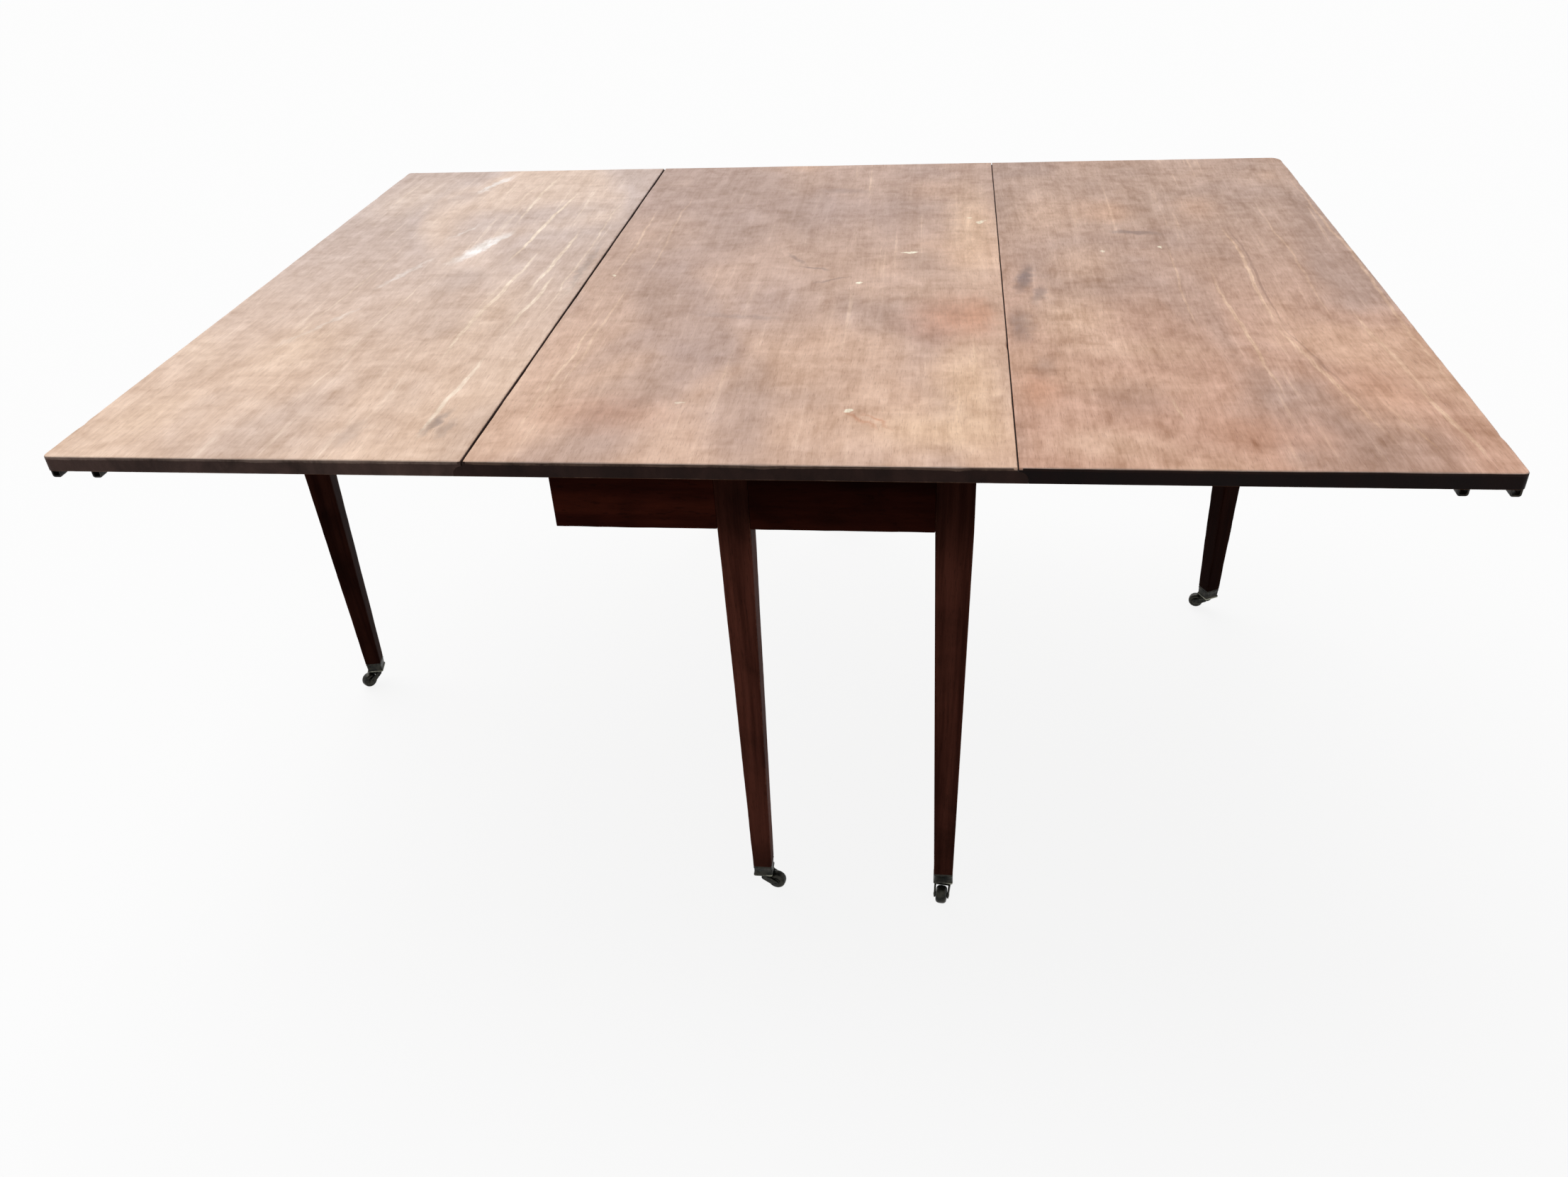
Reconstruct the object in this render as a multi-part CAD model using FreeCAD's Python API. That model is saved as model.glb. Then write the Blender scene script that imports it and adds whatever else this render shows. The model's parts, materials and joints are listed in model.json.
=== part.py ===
import FreeCAD, Part
import math
import os

# Drop-leaf dining table with swing legs, both leaves raised. Millimetres.
# The origin is on the floor under the middle of the top. +X runs across the leaves,
# +Y along the hinge lines from the front end to the back end, and +Z is up.
# Turned half round about the upright axis, the frame is the same again: the left gate
# closes on the front left corner and the right gate on the back right corner.

# Top boards
table_height = 720.0
board_thickness = 19.0
top_length = 1168.0
open_width = 1612.0
centre_width = 604.0
edge_round = 2.4
corner_round = 8.0
worn_corner_round = 20.0

# Rule joint between the centre board and the leaves
seam_gap = 1.6
rule_quirk = 3.5
rule_clearance = 0.6

# Table hinges, let in flush under the boards
hinge_length = 64.0
hinge_barrel_radius = 3.5
hinge_pin_radius = 1.6
hinge_plate_thickness = 2.0
centre_plate_width = 34.0
leaf_flap_width = 54.0
hinge_knuckle_gap = 0.3
hinge_barrel_clearance = 0.4
hinge_lift_relief = 1.4
hinge_place_shares = (-0.38, 0.0, 0.38)
hinge_knuckles = 5

# Countersunk wood screws
screw_head_radius = 3.4
screw_head_depth = 1.7
screw_shank_radius = 1.7
screw_bite_share = 0.6
screw_clearance = 0.05

# Frame
frame_width = 524.0
end_overhang = 54.0
apron_depth = 95.0
apron_thickness = 22.0
inner_rail_thickness = 20.0
side_rail_thickness = 25.0
fly_clearance = 1.0
apron_lap = 8.0
lap_clearance = 0.5
tenon_thickness = 8.0
tenon_length = 19.0
tenon_shoulder = 14.0
cross_rail_thickness = 22.0
cross_rail_depth = 75.0

# Legs
leg_square = 44.0
centre_leg_square = 39.0
toe_square = 26.0
centre_leg_offset = 14.0

# Gates
gate_leg_inset = 30.0
gate_drop = 0.5
knuckle_pin_radius = 4.0
knuckle_clearance = 0.5
knuckle_fingers = 5
left_gate_degrees = 78.0
right_gate_degrees = 61.5
gate_stop_degrees = 80.0
stop_width = 20.0
stop_length = 36.0
stop_depth = 16.0

# Glue blocks that carry the top screws
glue_block_square = 32.0
glue_block_length = 70.0
side_block_shares = (-0.33, -0.13, 0.13, 0.33)
top_screw_head_radius = 4.2
top_screw_head_depth = 2.2
top_screw_shank_radius = 2.2

# Castors with square cups
cup_height = 19.0
cup_wall = 2.0
cup_floor = 2.5
cup_proud = 0.5
wheel_radius = 12.5
wheel_width = 15.0
wheel_tread_round = 5.0
wheel_headroom = 1.0
wheel_side_gap = 0.5
axle_radius = 2.2
swivel_gap = 0.3
fork_depth = 7.7
fork_front = 7.0
fork_back = 5.5
cheek_thickness = 2.4
cheek_end_radius = 5.0
pintle_radius = 3.2
rivet_radius = 4.6
rivet_depth = 1.5
castor_degrees = {
    "front_right": 264.0,
    "front_centre": 349.0,
    "back_left": 62.0,
    "back_centre": 205.0,
    "left_gate": 238.0,
    "right_gate": 163.0,
}

# Sockets for the forked clip that joins tables end to end
keeper_length = 12.0
keeper_plate = 2.0
keeper_corner_inset = 1.75
keeper_edge_margin = 1.0
loop_width = 11.5
loop_drop = 8.0
loop_wall = 2.0
loop_spacing = 50.5
keeper_screw_spacing = 14.0

# Fits
running_clearance = 0.05
cut_overrun = 2.0

# Places that follow from the sizes above
underside = table_height - board_thickness
seam = centre_width / 2
outer_edge = open_width / 2
half_length = top_length / 2
hinge_height = underside + hinge_barrel_radius
ovolo_radius = board_thickness - rule_quirk - hinge_barrel_radius
cove_radius = ovolo_radius + rule_clearance
half_frame = frame_width / 2
frame_end = half_length - end_overhang
apron_bottom = underside - apron_depth
leg_inner = half_frame - leg_square
rail_face = leg_inner + apron_lap
fly_thickness = side_rail_thickness - fly_clearance
pivot_x = rail_face + fly_clearance + fly_thickness / 2
leg_centre_x = half_frame - leg_square / 2
leg_centre_y = frame_end - leg_square / 2
centre_leg_y = frame_end - centre_leg_square / 2
stop_angle = math.radians(gate_stop_degrees)
gate_side_step = (leg_centre_x - pivot_x) * math.cos(stop_angle)
gate_arm = (outer_edge - gate_leg_inset - pivot_x - gate_side_step) / math.sin(stop_angle)
pivot_offset = gate_arm - leg_centre_y
cup_bottom = 2 * wheel_radius + wheel_headroom
toe_height = cup_bottom + cup_height
cup_square = toe_square + 2 * cup_proud
plug_square = cup_square - 2 * cup_wall
castor_trail = wheel_radius + fork_back + wheel_headroom
straight_up = FreeCAD.Vector(0, 0, 1)
along = FreeCAD.Vector(0, 1, 0)


def point(x, y, z):
    return FreeCAD.Vector(x, y, z)


def block(x0, x1, y0, y1, z0, z1):
    return Part.makeBox(x1 - x0, y1 - y0, z1 - z0, point(x0, y0, z0))


def post(radius, x, y, z0, z1):
    return Part.makeCylinder(radius, z1 - z0, point(x, y, z0), straight_up)


def bar(radius, x, z, y0, y1):
    return Part.makeCylinder(radius, y1 - y0, point(x, y0, z), along)


def fused(shapes):
    return shapes[0].multiFuse(shapes[1:]).removeSplitter()


def turned(shape):
    copy = shape.copy()
    copy.rotate(point(0, 0, 0), straight_up, 180)
    return copy


def mirrored(shape):
    return shape.mirror(point(0, 0, 0), point(1, 0, 0))


def swung(shape, degrees):
    # The left gate opens clockwise, seen from above, about its knuckle pin.
    copy = shape.copy()
    copy.rotate(point(-pivot_x, pivot_offset, 0), straight_up, -degrees)
    return copy


def save(node, shapes):
    shape = shapes if isinstance(shapes, Part.Shape) else Part.makeCompound(shapes)
    shape.exportStep("parts/%s.step" % node)


def edges_at_top(board, skip_x):
    # The top border of a board, without the edge that lies along a seam.
    near = edge_round / 2

    def on_border(edge):
        ends = [v.Point for v in edge.Vertexes]
        level = all(abs(p.z - table_height) < near for p in ends)
        on_seam = all(abs(p.x - ends[0].x) + abs(abs(p.x) - skip_x) < near for p in ends)
        return level and not on_seam

    return [edge for edge in board.Edges if on_border(edge)]


def upright_edge(board, x, y):
    near = edge_round / 2
    return [e for e in board.Edges
            if all(math.hypot(v.X - x, v.Y - y) < near for v in e.Vertexes)]


# Screws stand upright with the head below, flush with the face they hold.
def screw(x, y, z, length, head_radius, head_depth, shank_radius, grow=0.0):
    head = Part.makeCone(head_radius + grow, shank_radius + grow, head_depth, point(x, y, z))
    return fused([head, post(shank_radius + grow, x, y, z, z + length)])


def wood_screw(spot, z, grow=0.0):
    length = screw_bite_share * board_thickness
    return screw(spot[0], spot[1], z, length, screw_head_radius, screw_head_depth,
                 screw_shank_radius, grow)


def screw_holes(spots, z):
    return [wood_screw(spot, z, screw_clearance) for spot in spots]


# Table hinges, laid out for the right seam; the left ones are their mirror image.
def hinge_middles():
    return [share * top_length for share in hinge_place_shares]


def knuckle_spans(middle, first):
    pitch = hinge_length / hinge_knuckles
    start = middle - hinge_length / 2
    gap = hinge_knuckle_gap / 2
    return [(start + i * pitch + gap, start + (i + 1) * pitch - gap)
            for i in range(first, hinge_knuckles, 2)]


def hinge_half(middle, first, side, width):
    # One plate with its own knuckles: side is -1 under the centre board, 1 under the leaf.
    clear = hinge_barrel_radius + hinge_barrel_clearance
    y0 = middle - hinge_length / 2
    y1 = middle + hinge_length / 2
    top = underside + hinge_plate_thickness
    x_near = seam + side * clear
    x_far = seam + side * width
    pieces = [block(min(x_near, x_far), max(x_near, x_far), y0, y1, underside, top)]
    for k0, k1 in knuckle_spans(middle, first):
        pieces.append(block(min(seam, x_near), max(seam, x_near), k0, k1, underside, top))
        pieces.append(bar(hinge_barrel_radius, seam, hinge_height, k0, k1))
    bore = bar(hinge_pin_radius + running_clearance, seam, hinge_height,
               y0 - cut_overrun, y1 + cut_overrun)
    return fused(pieces).cut(bore)


def hinge_pin(middle):
    reach = hinge_length / 2
    return bar(hinge_pin_radius, seam, hinge_height, middle - reach, middle + reach)


def plate_screw_spots(middle, side, width):
    clear = hinge_barrel_radius + hinge_barrel_clearance
    mid_x = seam + side * (width + clear) / 2
    spread = hinge_length / 3
    return [(mid_x, middle - spread), (mid_x, middle + spread)]


def hinge_recess(middle):
    # Room under the centre board for its plate, the barrel and the leaf's flap as it lifts.
    clear = hinge_barrel_radius + hinge_barrel_clearance
    y0 = middle - hinge_length / 2
    y1 = middle + hinge_length / 2
    below = underside - cut_overrun
    plate = block(seam - centre_plate_width, seam, y0, y1,
                  below, underside + hinge_plate_thickness)
    groove = bar(clear, seam, hinge_height, y0, y1)
    mouth = block(seam - clear, seam + clear, y0, y1, below, hinge_height)
    relief = block(seam, seam + ovolo_radius + cut_overrun,
                   y0 - hinge_barrel_clearance, y1 + hinge_barrel_clearance,
                   below, underside + hinge_plate_thickness + hinge_lift_relief)
    return [plate, groove, mouth, relief]


def flap_recess(middle):
    return block(seam, seam + leaf_flap_width, middle - hinge_length / 2,
                 middle + hinge_length / 2, underside - cut_overrun,
                 underside + hinge_plate_thickness)


def centre_screw_spots():
    return [spot for m in hinge_middles() for spot in plate_screw_spots(m, -1, centre_plate_width)]


def leaf_screw_spots():
    return [spot for m in hinge_middles() for spot in plate_screw_spots(m, 1, leaf_flap_width)]


def centre_plate(middle):
    spots = plate_screw_spots(middle, -1, centre_plate_width)
    return hinge_half(middle, 0, -1, centre_plate_width).cut(screw_holes(spots, underside))


def leaf_flap(middle):
    spots = plate_screw_spots(middle, 1, leaf_flap_width)
    return hinge_half(middle, 1, 1, leaf_flap_width).cut(screw_holes(spots, underside))


# Boards
def centre_board():
    # The long edges are ovolos about the hinge axis, under a small square quirk.
    y = -half_length
    shoulder = table_height - rule_quirk
    bulge = ovolo_radius * math.sqrt(0.5)
    outer = seam + ovolo_radius
    right_arc = Part.Arc(point(seam, y, shoulder), point(seam + bulge, y, hinge_height + bulge),
                         point(outer, y, hinge_height))
    left_arc = Part.Arc(point(-outer, y, hinge_height), point(-seam - bulge, y, hinge_height + bulge),
                        point(-seam, y, shoulder))
    edges = [
        Part.makeLine(point(-seam, y, table_height), point(seam, y, table_height)),
        Part.makeLine(point(seam, y, table_height), point(seam, y, shoulder)),
        right_arc.toShape(),
        Part.makeLine(point(outer, y, hinge_height), point(outer, y, underside)),
        Part.makeLine(point(outer, y, underside), point(-outer, y, underside)),
        Part.makeLine(point(-outer, y, underside), point(-outer, y, hinge_height)),
        left_arc.toShape(),
        Part.makeLine(point(-seam, y, shoulder), point(-seam, y, table_height)),
    ]
    board = Part.Face(Part.Wire(edges)).extrude(point(0, top_length, 0))
    board = board.makeFillet(edge_round, edges_at_top(board, seam))
    cuts = []
    for middle in hinge_middles():
        for recess in hinge_recess(middle):
            cuts.append(recess)
            cuts.append(mirrored(recess))
    for hole in screw_holes(centre_screw_spots(), underside):
        cuts.append(hole)
        cuts.append(mirrored(hole))
    cuts += [top_screw(spot, screw_clearance) for spot in block_middles()]
    return board.cut(cuts)


def leaf_board(front_round, back_round):
    # The right leaf: a cove over the ovolo on the hinge side, rounded corners outside.
    y = -half_length
    inner = seam + seam_gap
    lip = math.acos(seam_gap / cove_radius)
    lip_height = hinge_height + cove_radius * math.sin(lip)
    middle = point(seam + cove_radius * math.cos(lip / 2), y,
                   hinge_height + cove_radius * math.sin(lip / 2))
    cove = Part.Arc(point(seam + cove_radius, y, hinge_height), middle, point(inner, y, lip_height))
    edges = [
        Part.makeLine(point(inner, y, table_height), point(outer_edge, y, table_height)),
        Part.makeLine(point(outer_edge, y, table_height), point(outer_edge, y, underside)),
        Part.makeLine(point(outer_edge, y, underside), point(seam + cove_radius, y, underside)),
        Part.makeLine(point(seam + cove_radius, y, underside),
                      point(seam + cove_radius, y, hinge_height)),
        cove.toShape(),
        Part.makeLine(point(inner, y, lip_height), point(inner, y, table_height)),
    ]
    board = Part.Face(Part.Wire(edges)).extrude(point(0, top_length, 0))
    board = board.makeFillet(front_round, upright_edge(board, outer_edge, -half_length))
    board = board.makeFillet(back_round, upright_edge(board, outer_edge, half_length))
    board = board.makeFillet(edge_round, edges_at_top(board, inner))
    cuts = [flap_recess(m) for m in hinge_middles()]
    keeper_spots = keeper_screw_spots(-1, front_round) + keeper_screw_spots(1, back_round)
    cuts += screw_holes(leaf_screw_spots() + keeper_spots, underside)
    return board.cut(cuts)


# Clip sockets at the outer corners of the right leaf
keeper_width = loop_spacing + loop_width
keeper_mid_x = outer_edge - keeper_corner_inset - keeper_width / 2


def keeper_mid_y(end, round_radius):
    # Far enough from the end for the plate's corner to lie inside the leaf's rounded corner.
    reach = max(round_radius - keeper_corner_inset, 0.0)
    inset = round_radius - math.sqrt(round_radius ** 2 - reach ** 2) + keeper_edge_margin
    return end * (half_length - inset - keeper_length / 2)


def keeper_screw_spots(end, round_radius):
    y = keeper_mid_y(end, round_radius)
    reach = keeper_screw_spacing / 2
    return [(keeper_mid_x - reach, y), (keeper_mid_x + reach, y)]


def keeper(end, round_radius):
    # A plate under the leaf with two square loops, open towards the end of the table.
    y_mid = keeper_mid_y(end, round_radius)
    y0 = y_mid - keeper_length / 2
    y1 = y_mid + keeper_length / 2
    plate_bottom = underside - keeper_plate
    loop_bottom = underside - keeper_plate - loop_drop
    pieces = [block(keeper_mid_x - keeper_width / 2, keeper_mid_x + keeper_width / 2, y0, y1,
                    plate_bottom, underside)]
    slots = []
    for side in (-1, 1):
        x = keeper_mid_x + side * loop_spacing / 2
        pieces.append(block(x - loop_width / 2, x + loop_width / 2, y0, y1, loop_bottom, plate_bottom))
        slots.append(block(x - loop_width / 2 + loop_wall, x + loop_width / 2 - loop_wall,
                           y0 - cut_overrun, y1 + cut_overrun, loop_bottom + loop_wall, plate_bottom))
    return fused(pieces).cut(slots + screw_holes(keeper_screw_spots(end, round_radius), plate_bottom))


def leaf_fixings(front_round, back_round):
    # One leaf's screws: through the hinge flaps, then through both clip sockets.
    spots = keeper_screw_spots(-1, front_round) + keeper_screw_spots(1, back_round)
    flap_screws = [wood_screw(spot, underside) for spot in leaf_screw_spots()]
    return flap_screws + [wood_screw(spot, underside - keeper_plate) for spot in spots]


# Frame joints. A tenon runs from a rail's end into the leg; the leg is cut to match.
def tenon_x(x0, y_mid):
    return block(x0, x0 + tenon_length, y_mid - tenon_thickness / 2, y_mid + tenon_thickness / 2,
                 apron_bottom + tenon_shoulder, underside - tenon_shoulder)


def tenon_y(x_mid, y0):
    return block(x_mid - tenon_thickness / 2, x_mid + tenon_thickness / 2, y0, y0 + tenon_length,
                 apron_bottom + tenon_shoulder, underside - tenon_shoulder)


# Front end: two apron halves meet the centre leg, and the left one ends free at the gate.
apron_mid_y = -frame_end + apron_thickness / 2
centre_leg_left = -centre_leg_offset - centre_leg_square / 2
centre_leg_right = -centre_leg_offset + centre_leg_square / 2


def front_apron_left():
    rail = block(-rail_face, centre_leg_left, -frame_end, -frame_end + apron_thickness,
                 apron_bottom, underside)
    return fused([rail, tenon_x(centre_leg_left, apron_mid_y)])


def front_apron_right():
    rail = block(centre_leg_right, leg_inner, -frame_end, -frame_end + apron_thickness,
                 apron_bottom, underside)
    return fused([rail, tenon_x(centre_leg_right - tenon_length, apron_mid_y),
                  tenon_x(leg_inner, apron_mid_y)])


# Left side: a full inner rail, and in front of it the fixed rail and the fly rail.
def left_inner_rail():
    rail = block(-rail_face, -rail_face + inner_rail_thickness, -frame_end + apron_thickness,
                 frame_end - apron_thickness, apron_bottom, underside)
    corner = block(-half_frame, -leg_inner, frame_end - leg_square, frame_end,
                   apron_bottom - cut_overrun, underside + cut_overrun)
    return rail.cut(corner)


def finger_levels():
    depth = (underside - gate_drop - apron_bottom) / knuckle_fingers
    return [(apron_bottom + i * depth, apron_bottom + (i + 1) * depth) for i in range(knuckle_fingers)]


def knuckle_cut(levels):
    # Open the levels that the other rail's fingers turn in, past the rounded end.
    reach = fly_thickness / 2 + knuckle_clearance
    y0 = pivot_offset - reach
    y1 = pivot_offset + reach
    far = side_rail_thickness + cut_overrun
    gap = knuckle_clearance / 2
    return [block(-pivot_x - far, -pivot_x + far, y0, y1, z0 - gap, z1 + gap) for z0, z1 in levels]


def rounded_end():
    # The rail's end: half a cylinder about the pivot.
    return post(fly_thickness / 2, -pivot_x, pivot_offset, apron_bottom, underside - gate_drop)


def pin_hole():
    return post(knuckle_pin_radius + running_clearance, -pivot_x, pivot_offset,
                apron_bottom - cut_overrun, underside + cut_overrun)


def left_fixed_rail():
    rail = block(-rail_face - side_rail_thickness, -rail_face, pivot_offset, frame_end - leg_square,
                 apron_bottom, underside - gate_drop)
    rail = fused([rail, rounded_end(), tenon_y(-pivot_x, frame_end - leg_square)])
    return rail.cut(knuckle_cut(finger_levels()[1::2]) + [pin_hole()])


def closed_fly_rail():
    leg_back = -frame_end + leg_square
    rail = block(-pivot_x - fly_thickness / 2, -pivot_x + fly_thickness / 2, leg_back, pivot_offset,
                 apron_bottom, underside - gate_drop)
    rail = fused([rail, rounded_end(), tenon_y(-pivot_x, leg_back - tenon_length)])
    return rail.cut(knuckle_cut(finger_levels()[0::2]) + [pin_hole()])


def left_knuckle_pin():
    return post(knuckle_pin_radius, -pivot_x, pivot_offset, apron_bottom, underside - gate_drop)


# Legs: a square block at the aprons, then an even taper on all four faces to the castor.
def square_wire(x, y, z, side):
    half = side / 2
    corners = [point(x - half, y - half, z), point(x + half, y - half, z),
               point(x + half, y + half, z), point(x - half, y + half, z)]
    return Part.makePolygon(corners + corners[:1])


def leg_at(x, y, top, square):
    half = square / 2
    head = block(x - half, x + half, y - half, y + half, apron_bottom, top)
    taper = Part.makeLoft([square_wire(x, y, apron_bottom, square),
                           square_wire(x, y, toe_height, toe_square)], True, True)
    plug = block(x - plug_square / 2, x + plug_square / 2, y - plug_square / 2, y + plug_square / 2,
                 cup_bottom + cup_floor, toe_height)
    return fused([head, taper, plug])


def front_right_leg():
    leg = leg_at(leg_centre_x, -leg_centre_y, underside, leg_square)
    return leg.cut([tenon_x(leg_inner, apron_mid_y),
                    turned(tenon_y(-pivot_x, frame_end - leg_square))])


def front_centre_leg():
    leg = leg_at(-centre_leg_offset, -centre_leg_y, underside, centre_leg_square)
    return leg.cut([tenon_x(centre_leg_left, apron_mid_y),
                    tenon_x(centre_leg_right - tenon_length, apron_mid_y)])


def closed_gate_leg():
    # The head is rebated to lap past the apron's free end when the gate is shut.
    leg = leg_at(-leg_centre_x, -leg_centre_y, underside - gate_drop, leg_square)
    rebate = block(-rail_face - lap_clearance, -leg_inner + cut_overrun, -frame_end - cut_overrun,
                   -frame_end + leg_square + cut_overrun, apron_bottom - lap_clearance,
                   underside + cut_overrun)
    return leg.cut([rebate, tenon_y(-pivot_x, -frame_end + leg_square - tenon_length)])


def open_gate_stop():
    # A block under the leaf that meets the gate leg's leading face at the end of its swing.
    y0 = -leg_centre_y - leg_square / 2 + (leg_square - stop_length)
    stop = block(-half_frame - stop_width, -half_frame, y0, y0 + stop_length,
                 underside - stop_depth, underside)
    return swung(stop, gate_stop_degrees)


# Stiffening and fixings inside the frame
def cross_rail():
    reach = rail_face - inner_rail_thickness
    half = cross_rail_thickness / 2
    return block(-reach, reach, -half, half, underside - cross_rail_depth, underside)


def block_middles():
    x = rail_face - inner_rail_thickness - glue_block_square / 2
    y = frame_end - apron_thickness - glue_block_square / 2
    left_x = (-rail_face + centre_leg_left) / 2
    right_x = (centre_leg_right + leg_inner) / 2
    spots = [(side * x, share * top_length) for side in (-1, 1) for share in side_block_shares]
    return spots + [(left_x, -y), (right_x, -y), (-left_x, y), (-right_x, y)]


def top_screw(spot, grow=0.0):
    length = glue_block_square + screw_bite_share * board_thickness
    return screw(spot[0], spot[1], underside - glue_block_square, length, top_screw_head_radius,
                 top_screw_head_depth, top_screw_shank_radius, grow)


def glue_block(spot, on_side):
    half = glue_block_square / 2
    reach = glue_block_length / 2
    across = half if on_side else reach
    lengthways = reach if on_side else half
    piece = block(spot[0] - across, spot[0] + across, spot[1] - lengthways, spot[1] + lengthways,
                  underside - glue_block_square, underside)
    return piece.cut(top_screw(spot, screw_clearance))


def glue_blocks():
    sides = 2 * len(side_block_shares)
    return [glue_block(spot, i < sides) for i, spot in enumerate(block_middles())]


# Castors, built at the origin with the wheel trailing along +X
def castor_cup():
    half = cup_square / 2
    hollow = plug_square / 2
    cup = block(-half, half, -half, half, cup_bottom, toe_height)
    return cup.cut([block(-hollow, hollow, -hollow, hollow, cup_bottom + cup_floor,
                          toe_height + cut_overrun),
                    post(pintle_radius + running_clearance, 0, 0, cup_bottom - cut_overrun,
                         toe_height)])


def castor_pintle():
    # The pin that the fork turns on: through the cup's floor, spread to a rivet below the fork.
    fork_bottom = cup_bottom - swivel_gap - fork_depth
    rivet_top = fork_bottom - swivel_gap
    pin = post(pintle_radius, 0, 0, rivet_top - rivet_depth, cup_bottom + cup_floor)
    return fused([pin, post(rivet_radius, 0, 0, rivet_top - rivet_depth, rivet_top)])


def castor_fork():
    top = cup_bottom - swivel_gap
    bottom = top - fork_depth
    inner = wheel_width / 2 + wheel_side_gap
    outer = inner + cheek_thickness
    pieces = [block(0, fork_back, -outer, outer, bottom, top),
              post(fork_front, 0, 0, bottom, top)]
    for y0 in (-outer, inner):
        outline = [point(0, y0, bottom), point(0, y0, top), point(fork_back, y0, top),
                   point(castor_trail, y0, wheel_radius + cheek_end_radius),
                   point(castor_trail, y0, wheel_radius - cheek_end_radius)]
        cheek = Part.Face(Part.makePolygon(outline + outline[:1])).extrude(point(0, cheek_thickness, 0))
        pieces.append(cheek)
        pieces.append(bar(cheek_end_radius, castor_trail, wheel_radius, y0, y0 + cheek_thickness))
    holes = [post(pintle_radius + running_clearance, 0, 0, bottom - cut_overrun, top + cut_overrun),
             bar(axle_radius + running_clearance, castor_trail, wheel_radius,
                 -outer - cut_overrun, outer + cut_overrun)]
    return fused(pieces).cut(holes)


def castor_axle():
    reach = wheel_width / 2 + wheel_side_gap + cheek_thickness
    return bar(axle_radius, castor_trail, wheel_radius, -reach, reach)


def castor_wheel():
    half = wheel_width / 2
    wheel = bar(wheel_radius, castor_trail, wheel_radius, -half, half)
    rims = [e for e in wheel.Edges if len(e.Vertexes) == 1]
    wheel = wheel.makeFillet(wheel_tread_round, rims)
    return wheel.cut(bar(axle_radius + running_clearance, castor_trail, wheel_radius,
                         -half - cut_overrun, half + cut_overrun))


def placed(shape, spot, degrees):
    copy = shape.copy()
    copy.rotate(point(0, 0, 0), straight_up, degrees)
    copy.translate(point(spot[0], spot[1], 0))
    return copy


def gate_foot(degrees):
    # Where the left gate leg stands when it is open by this much.
    angle = math.radians(-degrees)
    dx = -leg_centre_x + pivot_x
    dy = -leg_centre_y - pivot_offset
    return (-pivot_x + dx * math.cos(angle) - dy * math.sin(angle),
            pivot_offset + dx * math.sin(angle) + dy * math.cos(angle))


def leg_spots():
    left = gate_foot(left_gate_degrees)
    right = gate_foot(right_gate_degrees)
    return {
        "front_right": (leg_centre_x, -leg_centre_y),
        "front_centre": (-centre_leg_offset, -centre_leg_y),
        "back_left": (-leg_centre_x, leg_centre_y),
        "back_centre": (centre_leg_offset, centre_leg_y),
        "left_gate": left,
        "right_gate": (-right[0], -right[1]),
    }


os.makedirs("parts", exist_ok=True)

save("centre_top", centre_board())
save("front_apron_left", front_apron_left())
save("front_apron_right", front_apron_right())
save("back_apron_right", turned(front_apron_left()))
save("back_apron_left", turned(front_apron_right()))
save("left_inner_rail", left_inner_rail())
save("right_inner_rail", turned(left_inner_rail()))
save("left_fixed_rail", left_fixed_rail())
save("right_fixed_rail", turned(left_fixed_rail()))
save("front_right_leg", front_right_leg())
save("back_left_leg", turned(front_right_leg()))
save("front_centre_leg", front_centre_leg())
save("back_centre_leg", turned(front_centre_leg()))
save("cross_rail", cross_rail())
save("glue_blocks", glue_blocks())
save("top_screws", [top_screw(spot) for spot in block_middles()])
save("knuckle_pins", [left_knuckle_pin(), turned(left_knuckle_pin())])

# Hinges and leaves: the right side as drawn, the left side mirrored.
centre_plates = [centre_plate(m) for m in hinge_middles()]
hinge_pins = [hinge_pin(m) for m in hinge_middles()]
centre_screws = [wood_screw(spot, underside) for spot in centre_screw_spots()]
leaf_flaps = [leaf_flap(m) for m in hinge_middles()]

save("right_centre_hinge_plates", centre_plates)
save("left_centre_hinge_plates", [mirrored(s) for s in centre_plates])
save("hinge_pins", hinge_pins + [mirrored(s) for s in hinge_pins])
save("centre_hinge_screws", centre_screws + [mirrored(s) for s in centre_screws])
save("right_leaf", leaf_board(corner_round, worn_corner_round))
save("left_leaf", mirrored(leaf_board(corner_round, corner_round)))
save("right_leaf_hinge_flaps", leaf_flaps)
save("left_leaf_hinge_flaps", [mirrored(s) for s in leaf_flaps])
save("right_leaf_screws", leaf_fixings(corner_round, worn_corner_round))
save("left_leaf_screws", [mirrored(s) for s in leaf_fixings(corner_round, corner_round)])
save("right_clip_keepers", [keeper(-1, corner_round), keeper(1, worn_corner_round)])
save("left_clip_keepers", [mirrored(keeper(end, corner_round)) for end in (-1, 1)])
save("left_gate_stop", open_gate_stop())
save("right_gate_stop", turned(open_gate_stop()))

# Gates, swung open
save("left_fly_rail", swung(closed_fly_rail(), left_gate_degrees))
save("left_gate_leg", swung(closed_gate_leg(), left_gate_degrees))
save("right_fly_rail", turned(swung(closed_fly_rail(), right_gate_degrees)))
save("right_gate_leg", turned(swung(closed_gate_leg(), right_gate_degrees)))

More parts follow.
